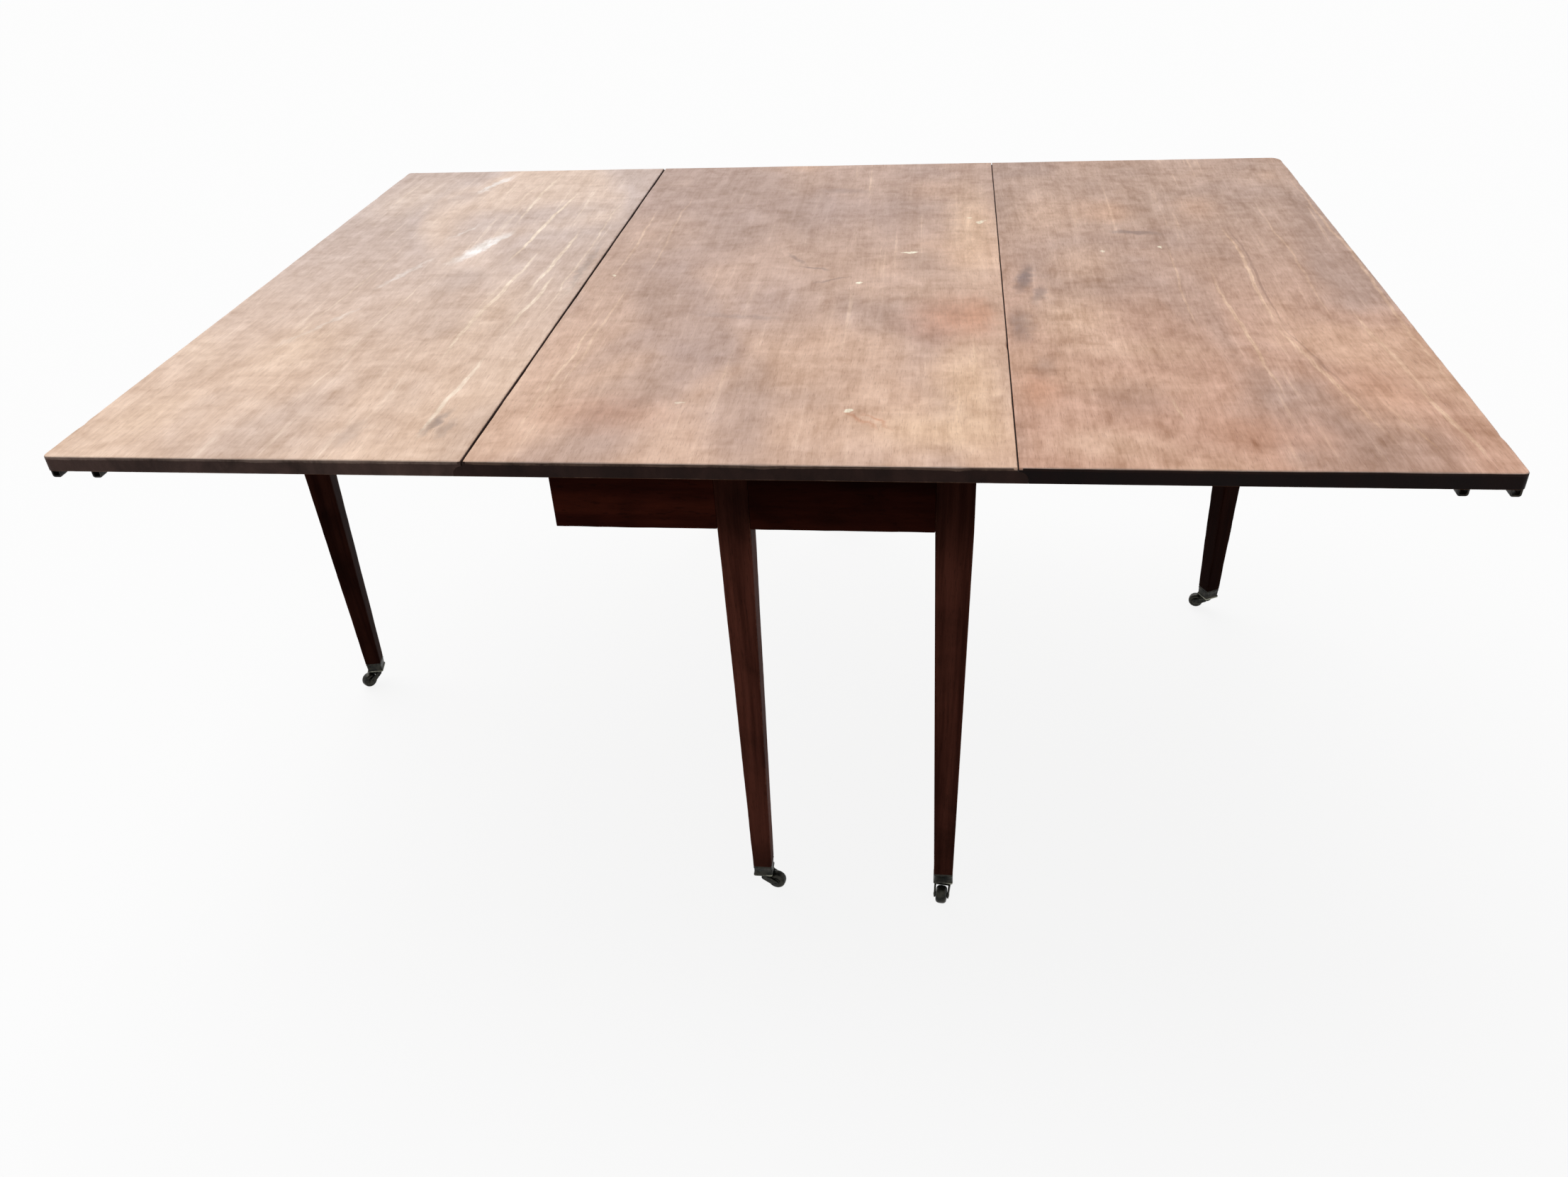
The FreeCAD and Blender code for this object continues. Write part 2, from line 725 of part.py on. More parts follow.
# Castors: the cups keep square to their legs, the forks trail as they were left.
spots = leg_spots()
fixed_legs = ("front_right", "front_centre", "back_left", "back_centre")
save("fixed_leg_castor_cups", [placed(castor_cup(), spots[leg], 0) for leg in fixed_legs])
save("fixed_leg_castor_pintles", [placed(castor_pintle(), spots[leg], 0) for leg in fixed_legs])
save("left_gate_castor_cup", placed(castor_cup(), spots["left_gate"], -left_gate_degrees))
save("right_gate_castor_cup", placed(castor_cup(), spots["right_gate"], -right_gate_degrees))
save("left_gate_castor_pintle", placed(castor_pintle(), spots["left_gate"], 0))
save("right_gate_castor_pintle", placed(castor_pintle(), spots["right_gate"], 0))
for leg, degrees in castor_degrees.items():
    save(leg + "_castor_fork", placed(castor_fork(), spots[leg], degrees))
    save(leg + "_castor_axle", placed(castor_axle(), spots[leg], degrees))
    save(leg + "_castor_wheel", placed(castor_wheel(), spots[leg], degrees))
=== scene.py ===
import bmesh
import bpy
import json
import math
import numpy as np
from mathutils import Matrix, Vector


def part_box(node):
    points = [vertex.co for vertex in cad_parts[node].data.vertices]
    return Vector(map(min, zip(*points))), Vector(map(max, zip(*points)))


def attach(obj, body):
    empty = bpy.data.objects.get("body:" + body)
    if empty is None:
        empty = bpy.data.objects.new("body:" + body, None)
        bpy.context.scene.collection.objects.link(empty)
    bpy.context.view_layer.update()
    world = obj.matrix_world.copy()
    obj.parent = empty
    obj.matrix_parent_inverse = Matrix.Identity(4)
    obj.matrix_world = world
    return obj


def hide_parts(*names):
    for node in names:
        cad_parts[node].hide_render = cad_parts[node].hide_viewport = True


# Drop-leaf table with both leaves up, in metres, dressed over its solids.
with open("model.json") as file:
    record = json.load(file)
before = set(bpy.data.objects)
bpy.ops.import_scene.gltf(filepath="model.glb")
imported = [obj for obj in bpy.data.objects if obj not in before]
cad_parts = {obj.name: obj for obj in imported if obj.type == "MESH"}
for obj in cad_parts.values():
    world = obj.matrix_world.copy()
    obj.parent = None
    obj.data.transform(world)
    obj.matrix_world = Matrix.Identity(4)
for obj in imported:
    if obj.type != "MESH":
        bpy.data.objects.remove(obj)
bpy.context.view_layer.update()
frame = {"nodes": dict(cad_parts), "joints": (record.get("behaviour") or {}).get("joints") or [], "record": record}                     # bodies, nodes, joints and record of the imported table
mm = 0.001
creaseAngle = math.radians(38.0)      # edges that turn by more than this stay crisp
legNames = ("front_right", "front_centre", "back_left", "back_centre", "left_gate", "right_gate")
jointAt = {joint["name"]: np.array(joint["pos_m"]) for joint in frame["joints"]}
mountAt = {mount["name"]: np.array(mount["pos_m"]) for mount in frame["record"]["mounts"]}


# Small helpers

def tint(red, green, blue):           # 8-bit screen colour to linear light
    c = np.array([red, green, blue]) / 255.0
    c = np.where(c <= 0.04045, c / 12.92, ((c + 0.055) / 1.055) ** 2.4)
    return (*c.tolist(), 1.0)


def tints(**colours):                 # named screen colours
    return {name: tint(*colour) for name, colour in colours.items()}


def inMm(**sizes):                    # named sizes, given in millimetres
    return {name: size * mm for name, size in sizes.items()}


def profile(*sizes):                  # a row of sizes, given in millimetres
    return np.array(sizes) * mm


def eased(share):                     # level at both ends, steepest midway
    return share * share * (3.0 - 2.0 * share)


def softNoise(t, step, seed):         # random heights at even steps along t, eased between neighbours
    knots = np.random.default_rng(seed).uniform(-1.0, 1.0, 2048)
    place = np.asarray(t) / step
    low = np.floor(place).astype(int)
    share = eased(place - low)
    return knots[low % len(knots)] * (1.0 - share) + knots[(low + 1) % len(knots)] * share


def softNoise2(x, y, step, seed):     # the same over a plane, on a square lattice, eased both ways
    size = 256
    knots = np.random.default_rng(seed).uniform(-1.0, 1.0, (size, size))
    px, py = np.asarray(x) / step, np.asarray(y) / step
    ix, iy = np.floor(px).astype(int), np.floor(py).astype(int)
    fx, fy = eased(px - ix), eased(py - iy)
    ix, iy, jx, jy = ix % size, iy % size, (ix + 1) % size, (iy + 1) % size
    near = knots[ix, iy] * (1 - fx) + knots[jx, iy] * fx
    far = knots[ix, jy] * (1 - fx) + knots[jx, jy] * fx
    return near * (1 - fy) + far * fy


def roundLack(distance, radius):      # share of an edge round still lacking, this far in from the edge
    return np.clip(1.0 - distance / radius, 0.0, 1.0)


def roundDrop(lack):                  # how far a unit quarter round has fallen at that share
    return 1.0 - np.sqrt(1.0 - lack ** 2)


boardWear = {"long": (0.22, 60.0 * mm), "short": (0.12, 11.0 * mm), "least": 0.35}
postWear = {"long": (0.4, 55.0 * mm), "short": (0.35, 11.0 * mm), "least": 0.3}


def wornShare(along, wear, seed):     # an arris radius beside its base, wandering at two scales
    (long, longStep), (short, shortStep) = wear["long"], wear["short"]
    return 1.0 + long * softNoise(along, longStep, seed) + short * softNoise(along, shortStep, seed + 1)


def stacked(*parts):                  # points from their coordinates
    return np.stack(np.broadcast_arrays(*parts), axis=-1)


def gridQuads(rows, columns, closedRows=False, closedColumns=True):
    # Quads between neighbouring rows of points; closed ways join the last line to the first.
    r = np.arange(rows if closedRows else rows - 1)[:, None]
    c = np.arange(columns if closedColumns else columns - 1)[None, :]
    up, on = (r + 1) % rows, (c + 1) % columns
    return stacked(r * columns + c, r * columns + on, up * columns + on, up * columns + c).reshape(-1, 4)


def loftShell(rings, arris=0.0, closed=False):
    # Skin over a stack of rings (ring, point, xyz); open stacks get a flat face at each end. The arris weight
    # comes by point, by ring or both.
    count, around = rings.shape[:2]
    faces = gridQuads(count, around, closedRows=closed).tolist()
    if not closed:
        faces.append(list(range(around))[::-1])
        faces.append(list(range((count - 1) * around, count * around)))
    weight = np.broadcast_to(arris, (count, around)).reshape(-1)
    return {"points": rings.reshape(-1, 3), "faces": faces, "arris": weight}


def raised(rings, z):                 # flat rings (ring, point, xy) set at their heights
    heights = np.broadcast_to(z[:, None, None], rings.shape[:2] + (1,))
    return np.concatenate([rings, heights], axis=-1)


def turnedShell(shell, angle, place):
    # Turned about the upright axis, then moved.
    c, s = math.cos(angle), math.sin(angle)
    spin = np.array([[c, -s, 0.0], [s, c, 0.0], [0.0, 0.0, 1.0]])
    return {**shell, "points": shell["points"] @ spin.T + np.array(place)}


def placed(name, data):
    made = bpy.data.objects.new(name, data)
    bpy.context.scene.collection.objects.link(made)
    return made


def makePiece(name, shells, material, body, nodes):
    # One object at the origin from closed shells, with every per-point value kept as an attribute.
    points = np.concatenate([s["points"] for s in shells])
    firsts = np.cumsum([0] + [len(s["points"]) for s in shells])
    faces = [[i + first for i in face] for s, first in zip(shells, firsts) for face in s["faces"]]
    mesh = bpy.data.meshes.new(name)
    mesh.from_pydata(points.tolist(), [], faces)
    shape = bmesh.new()
    shape.from_mesh(mesh)
    bmesh.ops.recalc_face_normals(shape, faces=shape.faces)
    shape.to_mesh(mesh)
    shape.free()
    for key in [k for k in shells[0] if k not in ("points", "faces")]:
        values = np.concatenate([s[key] for s in shells]).astype(np.float32)
        mesh.attributes.new(key, "FLOAT", "POINT").data.foreach_set("value", values)
    mesh.polygons.foreach_set("use_smooth", np.ones(len(mesh.polygons), bool))
    mesh.set_sharp_from_angle(angle=creaseAngle)
    piece = placed(name, mesh)
    mesh.materials.append(material)
    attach(piece, body)
    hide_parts(*nodes)


# Shader helpers

def node(tree, kind, inputs=None, **settings):
    made = tree.nodes.new(kind)
    for key, value in settings.items():
        setattr(made, key, value)
    for key, value in (inputs or {}).items():
        if isinstance(value, bpy.types.NodeSocket):
            tree.links.new(value, made.inputs[key])
        else:
            made.inputs[key].default_value = value
    return made


def calc(tree, operation, a, b=0.0, c=0.0):
    return node(tree, "ShaderNodeMath", {0: a, 1: b, 2: c}, operation=operation).outputs[0]


def times(tree, a, b, plus=0.0):
    return calc(tree, "MULTIPLY_ADD", a, b, plus)


def vectorCalc(tree, operation, *terms):
    return node(tree, "ShaderNodeVectorMath", dict(enumerate(terms)), operation=operation).outputs[0]


def dimmed(tree, colour, amount):
    return node(tree, "ShaderNodeVectorMath", {0: colour, "Scale": amount}, operation="SCALE").outputs[0]


def mixColour(tree, factor, a, b):
    return node(tree, "ShaderNodeMix", {0: factor, 6: a, 7: b}, data_type="RGBA").outputs[2]


def ease(tree, value, low, high, toLow=0.0, toHigh=1.0):
    ranged = {"Value": value, "From Min": low, "From Max": high, "To Min": toLow, "To Max": toHigh}
    return node(tree, "ShaderNodeMapRange", ranged, interpolation_type="SMOOTHSTEP").outputs[0]


def noise(tree, vector, stretch, detail=4.0, roughness=0.55, distortion=0.0):
    wanted = {"Vector": vectorCalc(tree, "MULTIPLY", vector, stretch), "Scale": 1.0, "Detail": detail,
              "Roughness": roughness, "Distortion": distortion}
    return node(tree, "ShaderNodeTexNoise", wanted).outputs["Fac"]


def aboutHalf(tree, value, amount, base=0.0):     # a noise's swing about its middle, scaled, added to a base
    return times(tree, calc(tree, "SUBTRACT", value, 0.5), amount, base)


def swayed(tree, spot, drift, reach):             # a place moved across the grain by a slow noise
    aside = node(tree, "ShaderNodeCombineXYZ", {"X": aboutHalf(tree, drift, reach)}).outputs[0]
    return vectorCalc(tree, "ADD", spot, aside)


def newGroup(name, inputs, outputs):
    group = bpy.data.node_groups.new(name, "ShaderNodeTree")
    for way, sockets in (("INPUT", inputs), ("OUTPUT", outputs)):
        for label, kind in sockets.items():
            group.interface.new_socket(name=label, in_out=way, socket_type="NodeSocket" + kind)
    return group, group.nodes.new("NodeGroupInput").outputs, group.nodes.new("NodeGroupOutput").inputs


def useGroup(tree, group, inputs):
    return node(tree, "ShaderNodeGroup", inputs, node_tree=group).outputs


def newMaterial(name, **sockets):
    material = bpy.data.materials.new(name)
    material.use_nodes = True
    tree = material.node_tree
    surface = tree.nodes["Principled BSDF"]
    for key, value in sockets.items():
        surface.inputs[key].default_value = value
    return material, tree, surface


def finishSurface(tree, surface, colour, roughness, relief, strength, depth):
    carved = {"Strength": strength, "Distance": depth, "Height": relief}
    bump = node(tree, "ShaderNodeBump", carved).outputs[0]
    for socket, value in (("Base Color", colour), ("Roughness", roughness), ("Normal", bump)):
        tree.links.new(value, surface.inputs[socket])


def objectVector(tree, turn=(0.0, 0.0, 0.0), offset=(0.0, 0.0, 0.0)):
    place = node(tree, "ShaderNodeTexCoord").outputs["Object"]
    return node(tree, "ShaderNodeMapping", {"Vector": place, "Rotation": turn, "Location": offset}).outputs[0]


def pointValue(tree, name):
    return node(tree, "ShaderNodeAttribute", attribute_name=name).outputs["Fac"]


# Shared effects

grainLayers = {                       # stretch, detail, roughness and distortion of each noise
    "Streak": ((85.0, 3.0, 30.0), 6.0, 0.62, 0.0), "Fleck": ((330.0, 42.0, 80.0), 3.0, 0.6, 0.0),
    "Pore": ((900.0, 60.0, 260.0), 2.0, 0.55, 0.0), "Figure": ((16.0, 46.0, 10.0), 3.0, 0.55, 0.5),
    "Haze": ((4.2, 2.6, 3.4), 2.0, 0.42, 0.5), "Cloud": ((7.5, 5.0, 6.0), 5.0, 0.58, 0.6),
    "Patch": ((19.0, 11.0, 14.0), 4.0, 0.6, 0.8), "Mottle": ((46.0, 30.0, 30.0), 4.0, 0.6, 0.4),
}
swayingLayers = ("Streak", "Fleck", "Pore", "Figure")
poreLevels = (0.58, 0.70)


def buildGrainGroup():
    # Mahogany with the grain along Y: long streaks, short flecks, pores and a faint cross figure that sway
    # together, then haze, clouds, patches and mottling by falling size.
    layers = {name: "Float" for name in grainLayers}
    group, given, out = newGroup("mahoganyGrain", {"Vector": "Vector"}, layers)
    spot = given["Vector"]
    moved = swayed(group, spot, noise(group, spot, (2.0, 1.1, 2.0), detail=2.0), 0.05)
    for name, settings in grainLayers.items():
        value = noise(group, moved if name in swayingLayers else spot, *settings)
        if name == "Pore":
            value = ease(group, value, *poreLevels)
        group.links.new(value, out[name])
    return group


def buildMarkGroup():
    # A soft-edged ellipse: the place is moved to the centre, turned, divided by the half sizes and measured.
    group, given, out = newGroup("surfaceMark", {
        "Vector": "Vector", "Centre": "Vector", "Half Size": "Vector", "Turn": "Float", "Core": "Float"},
        {"Mask": "Float"})
    shifted = vectorCalc(group, "SUBTRACT", given["Vector"], given["Centre"])
    spun = node(group, "ShaderNodeVectorRotate", {"Vector": shifted, "Angle": given["Turn"]},
                rotation_type="Z_AXIS").outputs[0]
    unit = vectorCalc(group, "DIVIDE", spun, given["Half Size"])
    flat = vectorCalc(group, "MULTIPLY", unit, (1.0, 1.0, 0.0))
    far = node(group, "ShaderNodeVectorMath", {0: flat}, operation="LENGTH").outputs["Value"]
    group.links.new(ease(group, far, 1.0, given["Core"]), out["Mask"])
    return group


def buildRubGroup():
    # Rubbed arrises: the arris weight eaten by two sizes of noise.
    group, given, out = newGroup("rubbedArris", {"Vector": "Vector", "Arris": "Float", "Amount": "Float"},
                                 {"Mask": "Float"})
    coarse = noise(group, given["Vector"], (26.0, 26.0, 26.0), detail=3.0)
    fine = noise(group, given["Vector"], (240.0, 240.0, 240.0), detail=2.0)
    eaten = calc(group, "ADD", times(group, coarse, 1.1), times(group, fine, 0.5))
    left = calc(group, "SUBTRACT", calc(group, "ADD", given["Arris"], given["Amount"]), eaten)
    group.links.new(ease(group, left, 0.0, 0.45), out["Mask"])
    return group


grainGroup = buildGrainGroup()
markGroup = buildMarkGroup()
rubGroup = buildRubGroup()
print("shared shader groups built")


def rubMask(tree, spot, amount):
    rub = {"Vector": spot, "Arris": pointValue(tree, "arris"), "Amount": amount}
    return useGroup(tree, rubGroup, rub)["Mask"]


# Sun-faded top boards, with a painted sheen of sky

# each board's edge colours also carry painted light: lighter walls on the left board, near-black painted
# shade on the right board
topFinish = {
    # marks come in runs of a kind, in the order they are laid: place, half width, half length
    # (in mm), turn and strength
    # the left board's paler, whiter colours are a painted sheen of sky over the wood
    "left": {
        **tints(near=(229, 196, 171), far=(205, 182, 171), grey=(206, 182, 170), warm=(233, 201, 174),
                pale=(238, 212, 190), line=(247, 225, 202), deep=(150, 108, 88), edge=(78, 60, 55),
                edgeRub=(140, 120, 110)),
        "seed": (3.1, 0.0, 0.0), "hazeTints": (0.46, 0.55),
        "swings": {"Streak": 0.44, "Fleck": 0.37, "Haze": 0.30, "Cloud": 0.42, "Patch": 0.53, "Mottle": 0.49,
                   "Figure": 0.37},
        "marks": [
            ("line", [(-440, 250, 5.5, 220, 0.07, 1), (-422, -100, 6, 250, 0.03, 0.9),
                      (-376, 80, 6, 160, 0.02, 0.9), (-363, -100, 5.5, 130, 0.05, 0.9),
                      (-372, -410, 6, 140, 0.02, 0.9), (-493, 400, 5.5, 170, 0, 0.8),
                      (-335, 100, 3, 360, 0, 0.5), (-560, -220, 3, 300, 0.03, 0.4),
                      (-655, -100, 3, 360, 0.02, 0.4), (-520, 420, 3, 140, 0.1, 0.5)]),
            ("smear", [(-517, 136, 18, 105, 0.3, 1), (-503, 155, 9, 90, 0.28, 0.8),
                       (-603, 495, 13, 75, 0.33, 0.9), (-598, 20, 8, 100, 0.3, 0.5),
                       (-640, -190, 7, 110, 0.42, 0.45), (-570, 220, 6, 60, 0.4, 0.5)]),
            ("stain", [(-366, -488, 11, 50, 0.2, 0.6), (-350, -505, 13, 36, 0.1, 0.35),
                       (-322, 50, 10, 160, 0, 0.35), (-460, -520, 18, 50, 0.1, 0.2),
                       (-500, -20, 50, 90, 0.3, 0.14)]),
            ("grey", [(-500, 330, 100, 140, 0.2, 0.15)]),
            ("warm", [(-640, -270, 90, 160, 0.2, 0.65), (-410, -150, 50, 200, 0, 0.4),
                      (-735, -480, 70, 100, 0.2, 0.6)]),
            ("pale", [(-735, 420, 100, 200, 0.1, 0.45)]),
        ],
    },
    "centre": {
        **tints(near=(221, 183, 158), far=(194, 162, 145), grey=(184, 156, 145), warm=(220, 180, 153),
                pale=(233, 195, 162), line=(236, 204, 176), deep=(120, 82, 66), edge=(48, 32, 28),
                edgeRub=(116, 94, 82)),
        "seed": (0.0, 7.7, 0.0), "hazeTints": (0.65, 0.80),
        "swings": {"Streak": 0.46, "Fleck": 0.36, "Haze": 0.25, "Cloud": 0.45, "Patch": 0.60, "Mottle": 0.56,
                   "Figure": 0.36},
        "marks": [
            ("line", [(-262, 160, 3.5, 200, 0.02, 0.5), (-256, -330, 3.5, 220, 0.03, 0.7),
                      (-240, -240, 3.5, 240, 0.02, 0.6), (-215, 200, 3, 240, 0, 0.4),
                      (245, -440, 2.8, 120, 0, 0.7), (262, -320, 3, 100, 0, 0.6)]),
            ("grey", [(-120, 200, 110, 200, 0.3, 0.6), (50, 320, 140, 130, 0.9, 0.6),
                      (-100, -280, 90, 130, 0.2, 0.5), (50, -420, 100, 50, 0.2, 0.2),
                      (-20, -120, 140, 180, 0.2, 0.7)]),
            ("stain", [(30, 30, 34, 6, 0.35, 0.45), (60, -20, 40, 5, -0.5, 0.4), (0, 70, 6, 40, -0.6, 0.4),
                       (190, 60, 50, 90, 0, 0.2), (50, 420, 60, 20, 0.1, 0.25),
                       (-50, -160, 100, 12, 0.15, 0.22)]),
            ("orange", [(235, -170, 100, 130, 0.1, 0.6), (268, -160, 30, 120, 0, 0.35)]),
            ("pale", [(255, -400, 70, 220, 0, 0.8), (220, -500, 120, 80, 0.2, 0.8),
                      (262, 220, 60, 340, 0, 0.6)]),
            ("warm", [(200, 420, 90, 120, 0, 0.5)]),
            ("orange", [(-170, -460, 120, 80, 0.1, 0.35), (128, -470, 6, 50, -0.65, 0.7),
                        (150, -475, 5, 40, -0.65, 0.6)]),
            ("speck", [(170, 96, 13, 5.5, 0, 1), (102, -33, 5.5, 7, 0, 1), (115, -449, 7, 6, 0, 1),
                       (279, 239, 7, 9, 0.4, 0.8), (262, 262, 4, 4, 0, 0.7), (-266, 4, 3.6, 6, 0, 0.8),
                       (-85, -430, 8, 3, 0, 0.5)]),
        ],
    },
    "right": {
        **tints(near=(209, 165, 142), far=(192, 160, 142), grey=(176, 148, 135), warm=(216, 174, 147),
                pale=(222, 184, 158), line=(234, 198, 168), deep=(112, 70, 54), edge=(18, 6, 5),
                edgeRub=(40, 24, 20)),
        "seed": (0.0, 0.0, 5.3), "hazeTints": (0.65, 0.80),
        "swings": {"Streak": 0.57, "Fleck": 0.50, "Haze": 0.08, "Cloud": 0.40, "Patch": 0.73, "Mottle": 0.66,
                   "Figure": 0.37},
        "marks": [
            ("line", [(644, 0, 4.5, 240, 0, 0.7), (668, -350, 5, 190, -0.17, 0.7),
                      (601, -200, 4.5, 240, -0.045, 0.7), (755, -280, 5, 160, -0.07, 0.6),
                      (766, -460, 5.5, 110, -0.1, 0.8), (545, -50, 3, 200, 0, 0.4),
                      (715, 50, 3, 260, 0, 0.4), (797, 0, 4.5, 550, 0, 0.5), (720, -470, 3.5, 90, -0.2, 0.5),
                      (490, -440, 3.5, 35, -0.15, 0.6)]),
            ("dark", [(652, 0, 3, 240, 0, 0.4), (676, -350, 3, 180, -0.17, 0.4)]),
            ("stain", [(334, -20, 18, 75, 0.15, 0.75), (352, -85, 14, 50, 0.2, 0.65),
                       (322, -190, 24, 80, 0, 0.5), (508, 178, 55, 14, 0.2, 0.5),
                       (440, -410, 70, 70, 0.3, 0.2), (662, -483, 60, 35, 0.2, 0.12)]),
            ("pale", [(420, 40, 90, 160, 0.1, 0.6)]),
            ("stain", [(345, -330, 20, 60, 0.1, 0.25)]),
            ("pale", [(450, -270, 140, 60, 0.1, 0.6), (400, -530, 120, 60, 0, 0.6),
                      (390, -170, 90, 150, 0, 1), (380, 280, 90, 180, 0.1, 0.5)]),
            ("warm", [(620, 300, 60, 100, 0, 0.5), (710, -420, 80, 150, 0.1, 0.55)]),
            ("orange", [(710, -400, 80, 150, 0.1, 0.2), (335, -390, 40, 80, 0, 0.5),
                        (580, -500, 100, 80, 0.2, 0.35)]),
            ("speck", [(538, 111, 3.5, 4.5, 0, 0.9), (455, 95, 5, 7, 0, 0.5)]),
        ],
    },
    # colour, flat share of the half size, and how far breaks in the grain eat each kind of mark
    "kinds": {"smear": (tint(246, 236, 229), 0.2, 0.25),
              "stain": (tint(88, 76, 80), 0.15, 0.25), "dark": (tint(110, 74, 60), 0.5, 0.45),
              "speck": (tint(250, 238, 214), 0.6, 0.0), "orange": (tint(204, 142, 108), 0.0, 0.12)},
    **tints(dust=(222, 208, 200), under=(112, 78, 56)), "gloss": 0.08, "bleach": (0.94, 1.18, 1.40),
    "depths": (-0.55, 0.35),            # near and far colours meet between these places along the grain; the greyer far colour is a painted sky reflection
    "wander": 30 * mm, "raggedness": (24 * mm, 24 * mm, 0.0), "narrowing": 0.75, "rimLevels": (0.62, 0.94),
}


def topMaterial(name, look, shared):
    material, tree, surface = newMaterial(name, **{"Specular IOR Level": shared["gloss"]})
    spot = objectVector(tree)
    grain = useGroup(tree, grainGroup, {"Vector": objectVector(tree, offset=look["seed"])})
    along = node(tree, "ShaderNodeSeparateXYZ", {0: spot}).outputs["Y"]
    # painted sky sheen: each board turns from its near colour to a greyer far colour along the grain
    depth = aboutHalf(tree, grain["Haze"], 0.7, along)
    colour = mixColour(tree, ease(tree, depth, *shared["depths"]), look["near"], look["far"])
    # the haze goes from grey to warm, clouds grey a little, and the strongest streaks go pale
    toGrey, toWarm = look["hazeTints"]
    greyed = calc(tree, "ADD", ease(tree, grain["Haze"], 0.50, 0.32, 0.0, toGrey),
                  ease(tree, grain["Cloud"], 0.5, 0.7, 0.0, 0.15))
    colour = mixColour(tree, greyed, colour, look["grey"])
    colour = mixColour(tree, ease(tree, grain["Haze"], 0.50, 0.68, 0.0, toWarm), colour, look["warm"])
    colour = mixColour(tree, ease(tree, grain["Streak"], 0.60, 0.74, 0.0, 0.35), colour, look["line"])
    # lines wander slowly across the grain, and other marks have ragged edges
    lineSpot = swayed(tree, spot, noise(tree, spot, (1.5, 6.0, 1.0), detail=4.0), shared["wander"])
    ragged = node(tree, "ShaderNodeTexNoise", {"Vector": spot, "Scale": 55.0, "Detail": 4.0}).outputs["Color"]
    jitter = vectorCalc(tree, "SUBTRACT", ragged, (0.5, 0.5, 0.5))
    markSpot = vectorCalc(tree, "MULTIPLY_ADD", jitter, shared["raggedness"], spot)
    breaks = times(tree, ease(tree, grain["Mottle"], 0.38, 0.60), ease(tree, grain["Fleck"], 0.34, 0.60))
    kinds = {**shared["kinds"], "line": (look["line"], 0.5, 0.35),
             **{kind: (look[kind], 0.0, 0.1) for kind in ("grey", "warm", "pale")}}
    for kind, rows in look["marks"]:
        paint, core, eaten = kinds[kind]
        place, narrowing = (lineSpot, shared["narrowing"]) if kind in ("line", "dark") else (markSpot, 1.0)
        for x, y, across, lengthways, turn, strength in rows:
            mask = useGroup(tree, markGroup, {
                "Vector": place, "Centre": (x * mm, y * mm, 0.0), "Turn": turn, "Core": core,
                "Half Size": (narrowing * across * mm, lengthways * mm, 1.0)})["Mask"]
            kept = times(tree, breaks, eaten * strength, (1.0 - eaten) * strength)
            colour = mixColour(tree, times(tree, mask, kept), colour, paint)
    # brightness swings about one with the grain, most in the blue, so that pale places look bleached
    swing = 0.0
    for layer, amount in look["swings"].items():
        swing = aboutHalf(tree, grain[layer], amount, swing)
    bleach = vectorCalc(tree, "MULTIPLY_ADD", swing, shared["bleach"], (1.0, 1.0, 1.0))
    colour = vectorCalc(tree, "MULTIPLY", colour, bleach)
    colour = mixColour(tree, times(tree, grain["Pore"], 0.25), colour, look["deep"])
    # a worn pale arris, dark walls with rubbed spots and painted shade, and a bare underside
    rubbed = rubMask(tree, spot, 0.25)
    worn = times(tree, ease(tree, pointValue(tree, "arris"), 0.0, 0.5, 0.0, 0.6),
                 times(tree, rubbed, 0.7, 0.3))
    colour = mixColour(tree, worn, colour, shared["dust"])
    wall = mixColour(tree, times(tree, rubbed, 0.7), look["edge"], look["edgeRub"])
    shade = times(tree, calc(tree, "ADD", grain["Mottle"], grain["Patch"]), 1.6, -0.6)
    atWall = ease(tree, pointValue(tree, "rim"), *shared["rimLevels"])
    colour = mixColour(tree, atWall, colour, dimmed(tree, wall, shade))
    bare = vectorCalc(tree, "MULTIPLY", shared["under"][:3], bleach)
    colour = mixColour(tree, pointValue(tree, "under"), colour, bare)
    dull = times(tree, grain["Cloud"], 0.22, 0.32)
    dull = times(tree, grain["Fleck"], 0.10, dull)
    relief = times(tree, grain["Pore"], -0.6, times(tree, grain["Fleck"], 0.8))
    finishSurface(tree, surface, colour, dull, relief, 0.35, 0.5 * mm)
    return material


# Top boards

boardShape = {
    **inMm(gap=1.6, quirk=3.5, clearance=0.15, spacing=4.6, cornerRound=8.0, wornCorner=20.0, cornerFade=90.0,
           arris=2.4, seamArris=0.8, leftSeamArris=2.8, seamReach=4.0, warp=0.25, warpStep=160.0, dent=0.22,
           dentStep=14.0, hingeReach=37.2, barrel=3.9, shelfDrop=0.1),
    "height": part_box("centre_top")[1].z, "underside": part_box("centre_top")[0].z + 0.3 * mm,
    "halfLength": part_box("centre_top")[1].y, "outer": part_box("right_leaf")[1].x,
    "seam": jointAt["right_leaf_hinge"][0], "hingeHeight": jointAt["right_leaf_hinge"][2],
    "leftSeamDirt": 1.2, "rightSeamDirt": 0.45, "topArris": 0.8, "footArris": 0.7,
    "hingeShares": (-0.38, 0.0, 0.38), "jointPoints": 9, "quirkRings": profile(2.0, 0.8),
    "tail": profile(3.0, 2.6, 2.2, 1.8, 1.4, 1.0, 0.4, 0.0),      # rings from moulding to underside
}


def borderSteps(low, high, spacing):
    # Lines packed at both borders, where the arris and the rounded corners need them, and even between.
    close = profile(0.0, 0.12, 0.35, 0.7, 1.1, 1.6, 2.2, 3.0, 4.2, 6.0, 8.5, 12.0, 16.0, 20.0)
    inner = np.linspace(low + close[-1], high - close[-1], int((high - low) / spacing))
    return np.concatenate([low + close[:-1], inner, high - close[-2::-1]])


